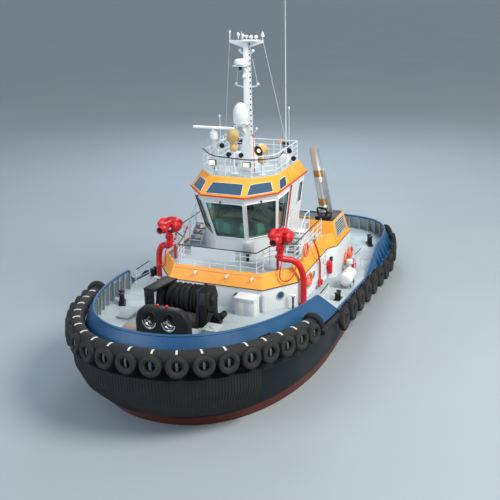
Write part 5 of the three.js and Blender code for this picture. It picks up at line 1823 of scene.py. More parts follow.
@dataclass
class RoofGear:
    """Lights, horns, aerials and the radar on the wheelhouse roof."""

    radar: Point = (1.2, -1.22, 9.78)
    dome: Point = (0.7, -0.06, 10.06)
    floodlights: tuple[Point, ...] = ((2.14, -0.91, 8.5), (2.14, 0.77, 8.5), (-1.98, -1.2, 8.6), (-1.98, 1.2, 8.6))
    searchlights: tuple[Point, ...] = ((1.55, -0.1, 9.62), (1.4, 1.22, 9.08))
    horns: tuple[Point, ...] = (
        (1.9, -0.15, 8.9), (1.9, 0.45, 8.9), (1.5, -0.65, 9.2), (-0.4, 1.95, 8.7), (-1.0, 1.95, 8.2),
    )
    lamp_case: tuple[Pair, ...] = (
        (0.07, -0.25), (0.11, -0.25), (0.11, -0.22), (0.17, -0.22), (0.18, -0.18), (0.22, -0.17), (0.245, -0.08),
        (0.25, 0.2), (0.265, 0.21), (0.265, 0.24), (0.235, 0.24), (0.225, 0.1),
    )
    top: float = 7.885

    def build(self) -> None:
        """Builds the radar, the dome, the lights and the small gear."""
        self.turning_radar()
        dome = Bench("satellite_dome_cover")
        curve = [(0.2, -0.08), (0.2, 0.0), (0.33, 0.02), (0.345, 0.08), (0.335, 0.1), (0.35, 0.12), (0.352, 0.5)]
        curve += [(0.352 * math.cos(a), 0.5 + 0.46 * math.sin(a)) for a in (0.3, 0.6, 0.9, 1.15, 1.35, 1.5)]
        dome.lathe(curve, self.dome, sides=32)
        dome.done(GEL, replaces="satellite_dome", smooth=40)
        white, dark, lens = Bench("roof_white_gear"), Bench("roof_dark_gear"), Bench("floodlight_lenses")
        for x, y, z in self.floodlights:
            way = math.copysign(1, x)
            dark.block((x - 0.06, y - 0.17, z - 0.12), (x + 0.06, y + 0.17, z + 0.12))
            lens.block((x + way * 0.055 - 0.01, y - 0.145, z - 0.1), (x + way * 0.055 + 0.015, y + 0.145, z + 0.1))
            white.tube([(x - way * 0.08, y, z - 0.2), (x - way * 0.02, y, z - 0.1)], 0.02)
        for x, y, z in self.horns:
            dark.lathe([(0.03, -0.12), (0.04, 0.0), (0.06, 0.12), (0.12, 0.2), (0.125, 0.21)], (x, y, z), (1, 0.2, 0))
            white.tube([(x - 0.05, y, z - 0.03), (x - 0.05, y, z - 0.25 if y > 1.9 else 7.89)], 0.022)
        lamps, tips = Bench("searchlights"), Bench("roof_amber_lamp")
        for (x, y, z), way in zip(self.searchlights, ((-0.85, -0.35, 0.2), (0.85, -0.3, -0.16))):
            lamps.lathe(self.lamp_case, (x, y, z), way, sides=28)
            # The black cone that lines each searchlight's mouth is painted shade, for the dark look of the lamp's
            # inside round its lens.
            dark.lathe([(0.232, 0.2), (0.2, 0.06), (0.1, 0.05)], (x, y, z), way, sides=28)
            # The glowing ball in each searchlight's mouth is a painted highlight on its lens.
            lens.ball(Vector((x, y, z)) + Vector(way).normalized() * 0.19, 0.1)
            fork = ((-0.28, 0), (-0.3, -0.12), (-0.16, -0.34), (0.16, -0.34), (0.3, -0.12), (0.28, 0))
            lamps.tube([(x, y + a, z + b) for a, b in fork], 0.026)
            lamps.lathe([(0.17, -0.62), (0.2, -0.56), (0.17, -0.42), (0.08, -0.36), (0.07, -0.3)], (x, y, z))
            white.rod((x, y, self.top), (x, y, z - 0.6), 0.06, 0.05)
            white.lathe([(0.16, 0.0), (0.16, 0.02), (0.07, 0.05)], (x, y, self.top))
        tips.lathe([(0.05, 0), (0.06, 0.02), (0.055, 0.11), (0.02, 0.14)], (0.3, 1.73, 9.2))
        white.tube([(0.3, 1.73, 9.2), (0.3, 1.73, 7.89)], 0.02)
        for x, y, z in ((1.95, -0.7, 9.1), (1.0, -1.6, 9.3), (-0.6, -1.7, 10.2), (-1.3, 1.6, 10.6), (-1.5, -1.2, 9.6)):
            white.rod((x, y, self.top), (x, y, z), 0.016, 0.01, sides=8)
            white.lathe([(0.03, 0), (0.045, 0.03), (0.045, 0.1), (0.01, 0.14)], (x, y, z - 0.16))
        for y in (-0.8, 1.5):
            white.block((-1.2, y - 0.25, self.top), (-0.7, y + 0.25, 8.3))
        dark.tube(arc([(-0.4, 1.9, 8.82), (0.5, 1.87, 8.74), (1.2, 1.84, 8.68), (2.1, 0.98, 8.72), (2.11, -0.2, 8.76),
                       (2.1, -0.98, 8.84), (1.2, -1.84, 8.9)], 5), 0.026)
        white.done(WHITE, bevel=0.006)
        dark.done(BLACK, bevel=0.008)
        lamps.done(TAN)
        lens.done(LENS_HIGHLIGHT, bevel=0.004)
        tips.done(AMBER)

    def turning_radar(self) -> None:
        """Builds the radar's pedestal and the scanner that turns on it."""
        x, y, z = self.radar
        stand = Bench("radar_stand")
        curve = [(0.13, 7.886), (0.13, 7.91), (0.075, 7.94), (0.075, 9.3), (0.1, 9.34), (0.18, 9.38), (0.19, 9.62),
                 (0.17, 9.7)]
        stand.lathe([(r, h - z) for r, h in curve], self.radar)
        for a, b in circle(3, 0.2):
            stand.plate([(x, y, 7.9), (x + a, y + b, 7.9), (x, y, 8.25)], (0, 0, 0.008))
        stand.done(WHITE, replaces="radar_pedestal")
        scanner = Bench("radar_bar", self.radar)
        scanner.lathe([(0.09, -0.05), (0.09, 0.03), (0.06, 0.05)])
        section = [(-0.09, -0.04), (-0.03, -0.065), (0.06, -0.06), (0.09, -0.02), (0.085, 0.05), (0.0, 0.07),
                   (-0.085, 0.05)]
        rings = []
        for reach in (-1.03, -1.02, -0.9, 0.9, 1.02, 1.03):
            full = 0.6 if abs(reach) > 1.025 else (0.92 if abs(reach) > 1 else 1)
            rings.append([Vector((a * full, reach, 0.115 + b * full)) for a, b in section])
        scanner.skin(rings)
        scanner.done(GEL, body="radar_scanner", replaces="radar_scanner")


@dataclass
class MastGear:
    """The mast with its ladder, crosstree, spreaders and aerials."""

    x: float = -0.04
    cups: tuple[Point, ...] = (
        (-0.34, 0.07, 13.95), (-0.12, 0.08, 13.9), (0.06, 0.085, 13.86), (0.28, 0.09, 13.84), (0.52, 0.09, 13.85),
    )
    stays: tuple[tuple[float, ...], ...] = (
        (0, -0.42, -0.52, 12.62, 11.75), (0, 0.3, 0.52, 12.9, 11.75), (0.9, -0.83, -1.6, 13.65, 8.8),
        (0.9, 0.83, 1.6, 13.65, 8.8),
    )

    def build(self) -> None:
        """Builds the column, the platforms and the aerials."""
        mast, gel, dark = Bench("mast_column"), Bench("mast_aerials"), Bench("mast_dark_gear")
        x = self.x
        column = ((7.886, 0.36, 0.42), (9.3, 0.17, 0.2), (9.6, 0.15, 0.16), (13.75, 0.11, 0.11))
        square = ((-1, -1), (1, -1), (1, 1), (-1, 1))
        mast.skin([[Vector((x + a * w, b * d, z)) for a, b in square] for z, w, d in column])
        for y in (0.08, -0.02):
            mast.tube([(x + 0.1, 0.2 + y, 9.3), (x + 0.1, 0.14 + y, 13.6)], 0.013)
        for k in range(17):
            z = 9.45 + 0.25 * k
            mast.tube([(x + 0.1, 0.16, z), (x + 0.1, 0.27, z)], 0.011)
            dark.block((x + 0.085, 0.175, z + 0.09), (x + 0.115, 0.215, z + 0.17))
        cross = [(-0.83, 13.62), (-0.83, 13.72), (0.83, 13.72), (0.83, 13.62), (0.15, 13.4), (-0.15, 13.4)]
        mast.plate([(x - 0.05, y, z) for y, z in cross], (0.1, 0, 0))
        mast.block((x - 0.25, -0.2, 13.7), (x + 0.3, 0.62, 13.73))
        for y, z in ((-0.8, 14.05), (0.8, 14.02)):
            mast.rod((x, y, 13.7), (x, y, z), 0.022)
        gel.lathe([(0.05, 0), (0.09, 0.02), (0.03, 0.2), (0.01, 0.24)], (x, 0.8, 13.88))
        gel.lathe([(0.03, 0), (0.04, 0.03), (0.04, 0.09), (0.01, 0.11)], (x, -0.8, 14.03))
        for y, r, z in self.cups:
            cup = [(0.03, -0.15), (0.03, -0.03), (r, 0.0), (r, 0.04), (r * 0.8, 0.09), (r * 0.3, 0.12)]
            gel.lathe(cup, (x + 0.1, y, z))
        gel.rod((x + 0.05, -0.2, 13.73), (x + 0.05, -0.2, 14.13), 0.03, 0.006)
        mast.block((x + 0.05, -0.45, 12.62), (x + 0.62, 0.16, 12.66))
        mast.plate([(x + 0.1, -0.02, 12.62), (x + 0.5, -0.02, 12.62), (x + 0.1, -0.02, 12.3)], (0, 0.03, 0))
        drum = [(0.24, 0), (0.28, 0.03), (0.29, 0.12), (0.27, 0.2), (0.2, 0.24), (0.06, 0.25)]
        gel.lathe(drum, (x + 0.38, -0.16, 12.68))
        gel.lathe([(0.08, 0), (0.12, 0.06), (0.1, 0.14), (0.03, 0.18)], (x + 0.2, -0.04, 12.05))
        dark.ball((x + 0.42, -0.16, 12.52), 0.085)
        for z, half in ((13.1, 0.32), (11.6, 0.54)):
            mast.tube([(x, -half, z + 0.1), (x, -0.1, z), (x, 0.1, z), (x, half, z + 0.1)], 0.03)
            for y in (-half, half):
                gel.ball((x, y, z + 0.17), 0.075, (1, 1, 0.85))
        mast.block((x + 0.1, -0.3, 9.96), (x + 0.95, 0.18, 9.99))
        mast.plate([(x + 0.1, -0.08, 9.96), (x + 0.85, -0.08, 9.96), (x + 0.14, -0.08, 9.4)], (0, 0.03, 0))
        for back, y0, y1, z0, z1 in self.stays:
            mast.tube([(x, y0, z0), (x - back, y1, z1)], 0.009, sides=6)
        red = Bench("mast_halyard")
        red.tube([(x + 0.3, 0.36, 9.4), (x + 0.9, 0.62, 8.5), (x + 1.3, 0.8, 7.92)], 0.02)
        red.ball((x + 0.3, 0.36, 9.42), 0.05)
        for y, z in ((-0.62, 9.75), (0.5, 9.7)):
            mast.tube([(x + 0.12, y * 0.2, 9.3), (x + 0.2, y, z)], 0.03)
            gel.ball((x + 0.2, y, z + 0.04), 0.06)
        mast.done(WHITE, replaces="mast", bevel=0.006)
        gel.done(GEL, smooth=45)
        dark.done(BLACK)
        red.done(RED)


@dataclass
class Uptakes:
    """The two exhaust casings with their louvres, and the polished pipes."""

    foot: Point = (-4.15, 2.59, 4.56)
    head: Point = (-4.15, 1.93, 8.12)
    radius: float = 0.235
    slats: int = 7
    louvre_ends: Pair = (0.14, 0.86)
    louvre_heights: Pair = (0.26, 0.9)

    def build(self) -> None:
        """Builds both casings and both pipes."""
        for side in Side:
            casing = dress(f"funnel_{side.label}", YELLOW, bevel=0.014)
            paint_faces(casing, BLACK, lambda centre, normal: normal.z > 0.9)
            self.louvre(side)
            self.pipe(side)

    def louvre(self, side: Side) -> None:
        """Builds the louvre in a casing's outer face over a black plate of painted shade, and the box and its pipe
        before the casing.

        Args:
            side: The side that it is on.
        """
        slats, surround, back = (Bench(f"louvre_{part}_{side.label}", side=side) for part in ("slats", "frame", "back"))
        wall = Wall((-2.33, 3.76, 3.487), (-4.82, 3.76, 3.487), (-2.6, 3.45, 4.64), (-4.56, 3.45, 4.64))
        (start, end), (low, high) = self.louvre_ends, self.louvre_heights
        corners = [wall.at(start, low), wall.at(end, low), wall.at(end, high), wall.at(start, high)]
        surround.tube([p + wall.normal() * 0.01 for p in corners], 0.022, closed=True)
        # The black plate behind the slats is painted shade: it stands in for the dark inside of the casing.
        back.plate(corners, wall.normal() * 0.006)
        lift = Vector((0, 0, 0.016))
        tip = wall.normal() * 0.03 - lift
        for k in range(self.slats):
            up = low + (high - low) * (k + 0.5) / self.slats
            a, b = wall.at(start, up, 0.012), wall.at(end, up, 0.012)
            slats.plate([a + lift, b + lift, b + tip, a + tip], (0, 0, 0.012))
        slats.done(GREY)
        surround.done(GREY)
        back.block((-3.3, 2.5, 4.63), (-2.7, 3.2, 4.8))
        back.tube(arc([(-3.2, 2.5, 4.8), (-3.2, 2.5, 5.1), (-3.0, 3.0, 5.1), (-3.0, 3.0, 4.8)], 4), 0.05)
        back.done(BLACK, bevel=0.01)

    def pipe(self, side: Side) -> None:
        """Builds a leaning exhaust pipe with its slant-cut end, and two thin vents beside it.

        Args:
            side: The side that it is on.
        """
        names = (f"exhaust_pipe_{side.label}", f"exhaust_soot_{side.label}", f"engine_vents_{side.label}")
        pipe, dark_plug, vents = (Bench(name, self.foot, side) for name in names)
        leaning = Vector(self.head) - Vector(self.foot)
        along, length = leaning.normalized(), leaning.length
        across, other = axes_along(along, Vector((1, 0, 0)))
        rings = []
        for radius, reach, slant in (
            (0.235, 0.09, 0), (0.235, 0.3, 0), (0.25, 0.32, 0), (0.25, 0.36, 0), (0.235, 0.38, 0), (0.235, 1.7, 0),
            (0.242, 1.71, 0), (0.242, 1.76, 0), (0.235, 1.77, 0), (0.235, length - 0.3, 0.62), (0.235, length, 0.95),
            (0.225, length, 0.95), (0.223, length - 0.3, 0.62), (0.22, 2.2, 0),
        ):
            ring = []
            for c, s in circle(32):
                middle = along * (reach + slant * radius * c - slant * self.radius)
                ring.append(middle + (across * c + other * s) * radius)
            rings.append(ring)
        pipe.skin(rings)
        pipe.done(EXHAUST, replaces=f"exhaust_{side.label}", smooth=40)
        # A black disc closes the pipe a little below its mouth, so that the inside of its end shows dark.
        dark_plug.rod(along * (length - 0.75), along * (length - 0.6), 0.222)
        dark_plug.done(RUBBER)
        for gap in (0.33, 0.43):
            base = Vector((0.12, gap, 0.09))
            vents.tube([base, base + along * 2.2, base + along * 2.32 + Vector((-0.1, 0, 0.02))], 0.045)
        vents.lathe([(0.3, 0.0), (0.3, 0.04), (0.26, 0.08), (0.25, 0.14)], along * 0.085, along)
        vents.done(STEEL)


@dataclass
class FireGear:
    """The fire mains up the house sides, with their monitors."""

    foot: Pair = (2.78, 3.66)
    head: Point = (3.3, 2.74, 5.15)
    bore: float = 0.145
    pivot: float = 0.52

    def build(self) -> None:
        """Builds both mains and both monitors."""
        for side in Side:
            self.main(side)
            self.monitor(side)
            self.barrel(side)

    def main(self, side: Side) -> None:
        """Builds the pipe from the deck over the coaming to the monitor's foot.

        Args:
            side: The side that it is on.
        """
        pipe = Bench(f"fire_main_pipe_{side.label}", side=side)
        x, y, z = self.head
        a, b, deck = *self.foot, EDGE.height(self.foot[0])
        route = [(a, b, deck + 0.003), (a, b, deck + 0.9), (2.8, 3.64, deck + 1.5), (2.9, 3.5, 4.25),
                 (3.06, 3.24, 4.53), (3.2, 2.98, 4.6), (x, y + 0.06, 4.66), (x, y, 4.8)]
        pipe.tube([*arc(route, 4), (x, y, z - 0.04)], self.bore, sides=20)
        pipe.lathe([(0.22, 0.001), (0.22, 0.03), (0.16, 0.034), (0.16, 0.05)], (a, b, deck))
        drain = [(3.42, 2.86, 4.52), (3.62, 2.86, 4.3), (3.66, 2.86, 3.86), (3.62, 3.1, 3.72), (3.5, 3.36, 3.9),
                 (3.1, 3.42, 4.3)]
        pipe.tube(arc(drain, 4), 0.03)
        pipe.stand(self.head, side)
        for drop in (0.045, 0.1):
            pipe.rod((0, 0, -drop - 0.018), (0, 0, -drop + 0.018), 0.19, sides=24)
        for a, b in circle(8, 0.165):
            pipe.rod((a, b, -0.14), (a, b, -0.012), 0.014, sides=6)
        pipe.rod((-0.16, -0.18, -1.15), (-0.16, -0.18, -0.45), 0.06)
        pipe.block((-0.23, -0.24, -0.51), (0, 0, -0.45))
        pipe.hoop((0.28, 0, -0.3), (1, 0, 0), 0.12, 0.016)
        pipe.rod((0.1, 0, -0.3), (0.29, 0, -0.3), 0.03)
        pipe.done(RED, replaces=f"fire_main_{side.label}", smooth=45)

    def monitor(self, side: Side) -> None:
        """Builds a monitor's swivel, with its gear housings and arms.

        Args:
            side: The side that it is on.
        """
        x, y, z = self.head
        yoke = Bench(f"monitor_yoke_{side.label}", (x, y * side.sign, z))
        yoke.lathe([(0.185, 0.0), (0.185, 0.035), (0.14, 0.045), (0.13, 0.1), (0.15, 0.14), (0.15, 0.2), (0.1, 0.23)])
        yoke.block((-0.14, -0.2, 0.15), (0.14, 0.2, 0.23))
        arm = [(-0.1, 0.16), (0.1, 0.16), (0.09, 0.56), (0.04, 0.62), (-0.04, 0.62), (-0.09, 0.56)]
        for sign in (1, -1):
            yoke.plate([(a, sign * 0.165, b) for a, b in arm], (0, sign * 0.06, 0))
            yoke.rod((0, sign * 0.2, self.pivot), (0, sign * 0.25, self.pivot), 0.09, 0.07, sides=20)
            yoke.ball((-0.16, sign * 0.36, 0.5), 0.37, (1.05, 0.5, 0.82))
            yoke.rod((-0.05, sign * 0.5, 0.52), (-0.05, sign * 0.58, 0.52), 0.12, 0.1, sides=18)
        yoke.ball((-0.5, 0, 0.5), 0.3, (0.8, 1.6, 0.95))
        yoke.rod((-0.3, 0, 0.17), (-0.4, 0, 0.4), 0.06)
        body = f"monitor_{side.label}"
        yoke.done(RED, body, body, bevel=0.008)

    def barrel(self, side: Side) -> None:
        """Builds a monitor's bulky barrel, with its jet mouth and linkage.

        Args:
            side: The side that it is on.
        """
        x, y, z = self.head
        axis = (x, y * side.sign, z + self.pivot)
        barrel, mouth = (Bench(f"monitor_{part}_{side.label}", axis) for part in ("barrel_shell", "mouth"))
        barrel.rod((0, -0.145, 0), (0, 0.145, 0), 0.11, sides=24)
        shell = [(0.06, -0.17), (0.12, -0.15), (0.13, 0.0), (0.13, 0.3), (0.24, 0.42), (0.25, 0.46), (0.25, 0.56),
                 (0.18, 0.66), (0.14, 0.72), (0.15, 0.86), (0.17, 0.87), (0.17, 0.9), (0.13, 0.9), (0.11, 0.8)]
        barrel.lathe(shell, axis=(1, 0, 0), sides=28)
        barrel.block((0.42, -0.2, 0.02), (0.62, 0.2, 0.27))
        barrel.block((-0.17, -0.09, 0.02), (0.2, 0.09, 0.17))
        barrel.rod((0.1, 0, 0.16), (0.5, 0, 0.24), 0.03)
        mouth.lathe([(0.11, 0.8), (0.13, 0.895), (0.09, 0.88), (0.02, 0.87)], axis=(1, 0, 0), sides=28)
        mouth.rod((0.5, -0.2, 0), (0.5, -0.245, 0), 0.05)
        body = f"monitor_barrel_{side.label}"
        barrel.done(RED, body, body, bevel=0.006)
        mouth.done(BLACK, body)


@dataclass
class TowingGear:
    """The bow staple and the towing winch."""

    staple: Point = (8.9, -0.22, 2.863)
    holes: Pair = (0.34, -0.52)
    hole_height: float = 0.86
    lip: tuple[Pair, ...] = (
        (-0.25, 0.3), (-0.2, 0.25), (-0.1, 0.21), (0, 0.2), (0.1, 0.21), (0.2, 0.25), (0.25, 0.3),
    )
    axis: Point = (6.75, -0.33, 3.78)
    bolt_circle: float = 0.5

    def build(self) -> None:
        """Builds the staple, the bed, the drum and the gear."""
        self.bow_staple()
        self.bed()
        self.drum()
        self.gear()

    def bow_staple(self) -> None:
        """Builds the staple with rounded shoulders and the rope-polished lips of its holes."""
        staple, lips, caps, rims = (Bench(f"staple_{part}", self.staple) for part in ("body", "lips", "caps", "rims"))
        half = [(1.18, 0.02), (1.17, 0.75), (1.08, 1.1), (0.9, 1.28), (0.6, 1.36)]
        shape = [(-a, b) for a, b in half] + half[::-1]
        staple.plate([(-0.2, a, b) for a, b in shape], (0.4, 0, 0))
        body = staple.done(BLACK, replaces="tow_staple", bevel=0.05)
        worn = [(math.cos(a), math.sin(a)) for a in (3.3, 3.6, 3.9, 4.2, 4.5, 4.8, 5.1, 5.4, 5.7, 6.0)]
        for hole in self.holes:
            self.bore(body, hole)
            for end in (0.19, -0.19):
                ring = [(end, hole + 0.285 * c, self.hole_height + 0.355 * s) for c, s in circle(28)]
                rims.tube(ring, 0.04, sides=10, closed=True)
            rings = []
            for reach, wide in self.lip:
                edge = [(c * wide, s * wide) for c, s in worn]
                edge += [(c * (wide + 0.03), s * (wide + 0.03)) for c, s in worn[::-1]]
                rings.append([Vector((reach, hole + a, self.hole_height + b * 1.28)) for a, b in edge])
            lips.skin(rings)
        choose(body)
        bpy.ops.object.shade_smooth_by_angle(angle=math.radians(35))
        lips.done(BRIGHT, smooth=60)
        rims.done(BLACK)
        for y in (-0.25, 0.15):
            caps.lathe([(0.06, 0), (0.06, 0.06), (0.03, 0.08)], (-0.05, y, 1.36))
        caps.done(RED)

    def bore(self, body: bpy.types.Object, hole: float) -> None:
        """Cuts one rope hole through the staple.

        Args:
            body: The staple.
            hole: The hole's place across it.
        """
        cutter = Bench("staple_cutter", self.staple)
        outline = [(-0.5, hole + (0.27 if s < 0 else 0.25) * c, self.hole_height + 0.34 * s) for c, s in circle(28)]
        cutter.plate(outline, (1.0, 0, 0))
        choose(body)
        cut = body.modifiers.new("bore", "BOOLEAN")
        cut.object = cutter.piece
        bpy.ops.object.modifier_apply(modifier=cut.name)
        bpy.data.objects.remove(cutter.piece)

    def bed(self) -> None:
        """Builds the bed with its cheeks, brake band, guard and side plate."""
        dress("winch_frame", BLACK, bevel=0.012)
        guard, band = Bench("winch_guard", self.axis), Bench("brake_band", self.axis)
        roof = [(1.3, -1.2), (1.3, -0.68), (-0.12, -0.36), (-0.2, -1.0)]
        guard.plate([(a, b, 0.66) for a, b in roof], (0, 0, 0.1))
        guard.block((1.25, -1.18, -1.0), (1.31, -0.74, 0.68))
        guard.block((-0.16, -1.0, -1.0), (-0.08, -0.95, 0.68))
        for k in range(5):
            guard.block((1.3, -1.1, 0.4 - 0.24 * k), (1.35, -0.82, 0.52 - 0.24 * k))
        side_plate = [(0.66, 0.66), (0.86, 0.66), (1.2, -0.4), (1.0, -0.4)]
        guard.plate([(a, -0.66, b) for a, b in side_plate], (0, -0.16, 0))
        guard.done(BLACK, bevel=0.01)
        arch = []
        for k in range(15):
            c, s = math.cos(math.radians(15 * k - 20)), math.sin(math.radians(15 * k - 20))
            section = ((0.66, -0.8), (0.66, -0.66), (0.7, -0.66), (0.7, -0.8))
            arch.append([Vector((r * c, q, r * s)) for r, q in section])
        band.skin(arch)
        band.rod((0.6, -0.73, -0.3), (0.62, -0.73, -0.95), 0.04)
        band.done(BLACK, bevel=0.004)

    def drum(self) -> None:
        """Builds the drum, with its flanges and the line wound on it."""
        drum, line = Bench("drum_flanges", self.axis), Bench("drum_line", self.axis)
        drum.rod((0, -0.9, 0), (0, 0.9, 0), 0.084, sides=20)
        flange = [(0.3, 0.0), (0.6, 0.0), (0.62, 0.008), (0.62, 0.028), (0.6, 0.036), (0.3, 0.036)]
        for y in (-0.76, -0.56, -0.3, -0.05, 0.16, 0.4, 0.56, 0.724):
            drum.lathe(flange, (0, y, 0), ABEAM, sides=40)
        for a, b in circle(8, self.bolt_circle):
            drum.rod((a, 0.755, b), (a, 0.775, b), 0.03, sides=8)
        drum.done(BLACK, "winch_drum", "winch_drum")
        for low, high, radius in ((-0.722, -0.052, 0.47), (-0.012, 0.722, 0.52)):
            turns = round((high - low) / 0.055)
            curve = [(0.31, low)]
            for k in range(turns * 6 + 1):
                share = k / (turns * 6)
                hollow = 0.026 * (1 - abs(math.sin(math.pi * share * turns))) ** 2
                curve.append((radius - hollow, low + (high - low) * share))
            line.lathe([*curve, (0.31, high)], axis=ABEAM, sides=40)
        line.done(LINE, "winch_drum", smooth=50)

    def gear(self) -> None:
        """Builds the gear casing, the motors and their hoses."""
        dress("winch_gear", BLACK, bevel=0.02)
        motors, hoses = Bench("winch_motors", self.axis), Bench("winch_hoses", self.axis)
        motors.rod((0, 0.95, 0.04), (0, 1.25, 0.04), 0.66, sides=8)
        motors.rod((0, 1.25, 0.04), (0, 1.3, 0.04), 0.6, 0.56, sides=8)
        motors.block((-0.6, 0.95, -1.0), (0.6, 1.25, -0.1))
        motors.lathe([(0.26, 0.0), (0.26, 0.05), (0.2, 0.07), (0.18, 0.1)], (0, 1.3, 0.04), ABEAM)
        for a, b in circle(16, self.bolt_circle):
            motors.rod((a, 1.3, 0.04 + b), (a, 1.325, 0.04 + b), 0.026, sides=6)
        motors.lathe([(0.12, 0), (0.14, 0.02), (0.14, 0.4), (0.1, 0.44)], (-0.05, 1.62, -0.72), (-1, 0, 0))
        motors.block((-0.3, 1.0, -1.05), (0.5, 1.6, -0.98))
        motors.done(BLACK, bevel=0.01)
        for k in range(3):
            hose = [(0.1, 1.3 + 0.06 * k, -0.6), (0.4, 1.3 + 0.08 * k, -0.4), (0.62, 1.3 + 0.05 * k, -0.7),
                    (0.7, 1.25 + 0.05 * k, -1.0)]
            hoses.tube(arc(hose, 5), 0.022)
        hoses.done(SEAL)


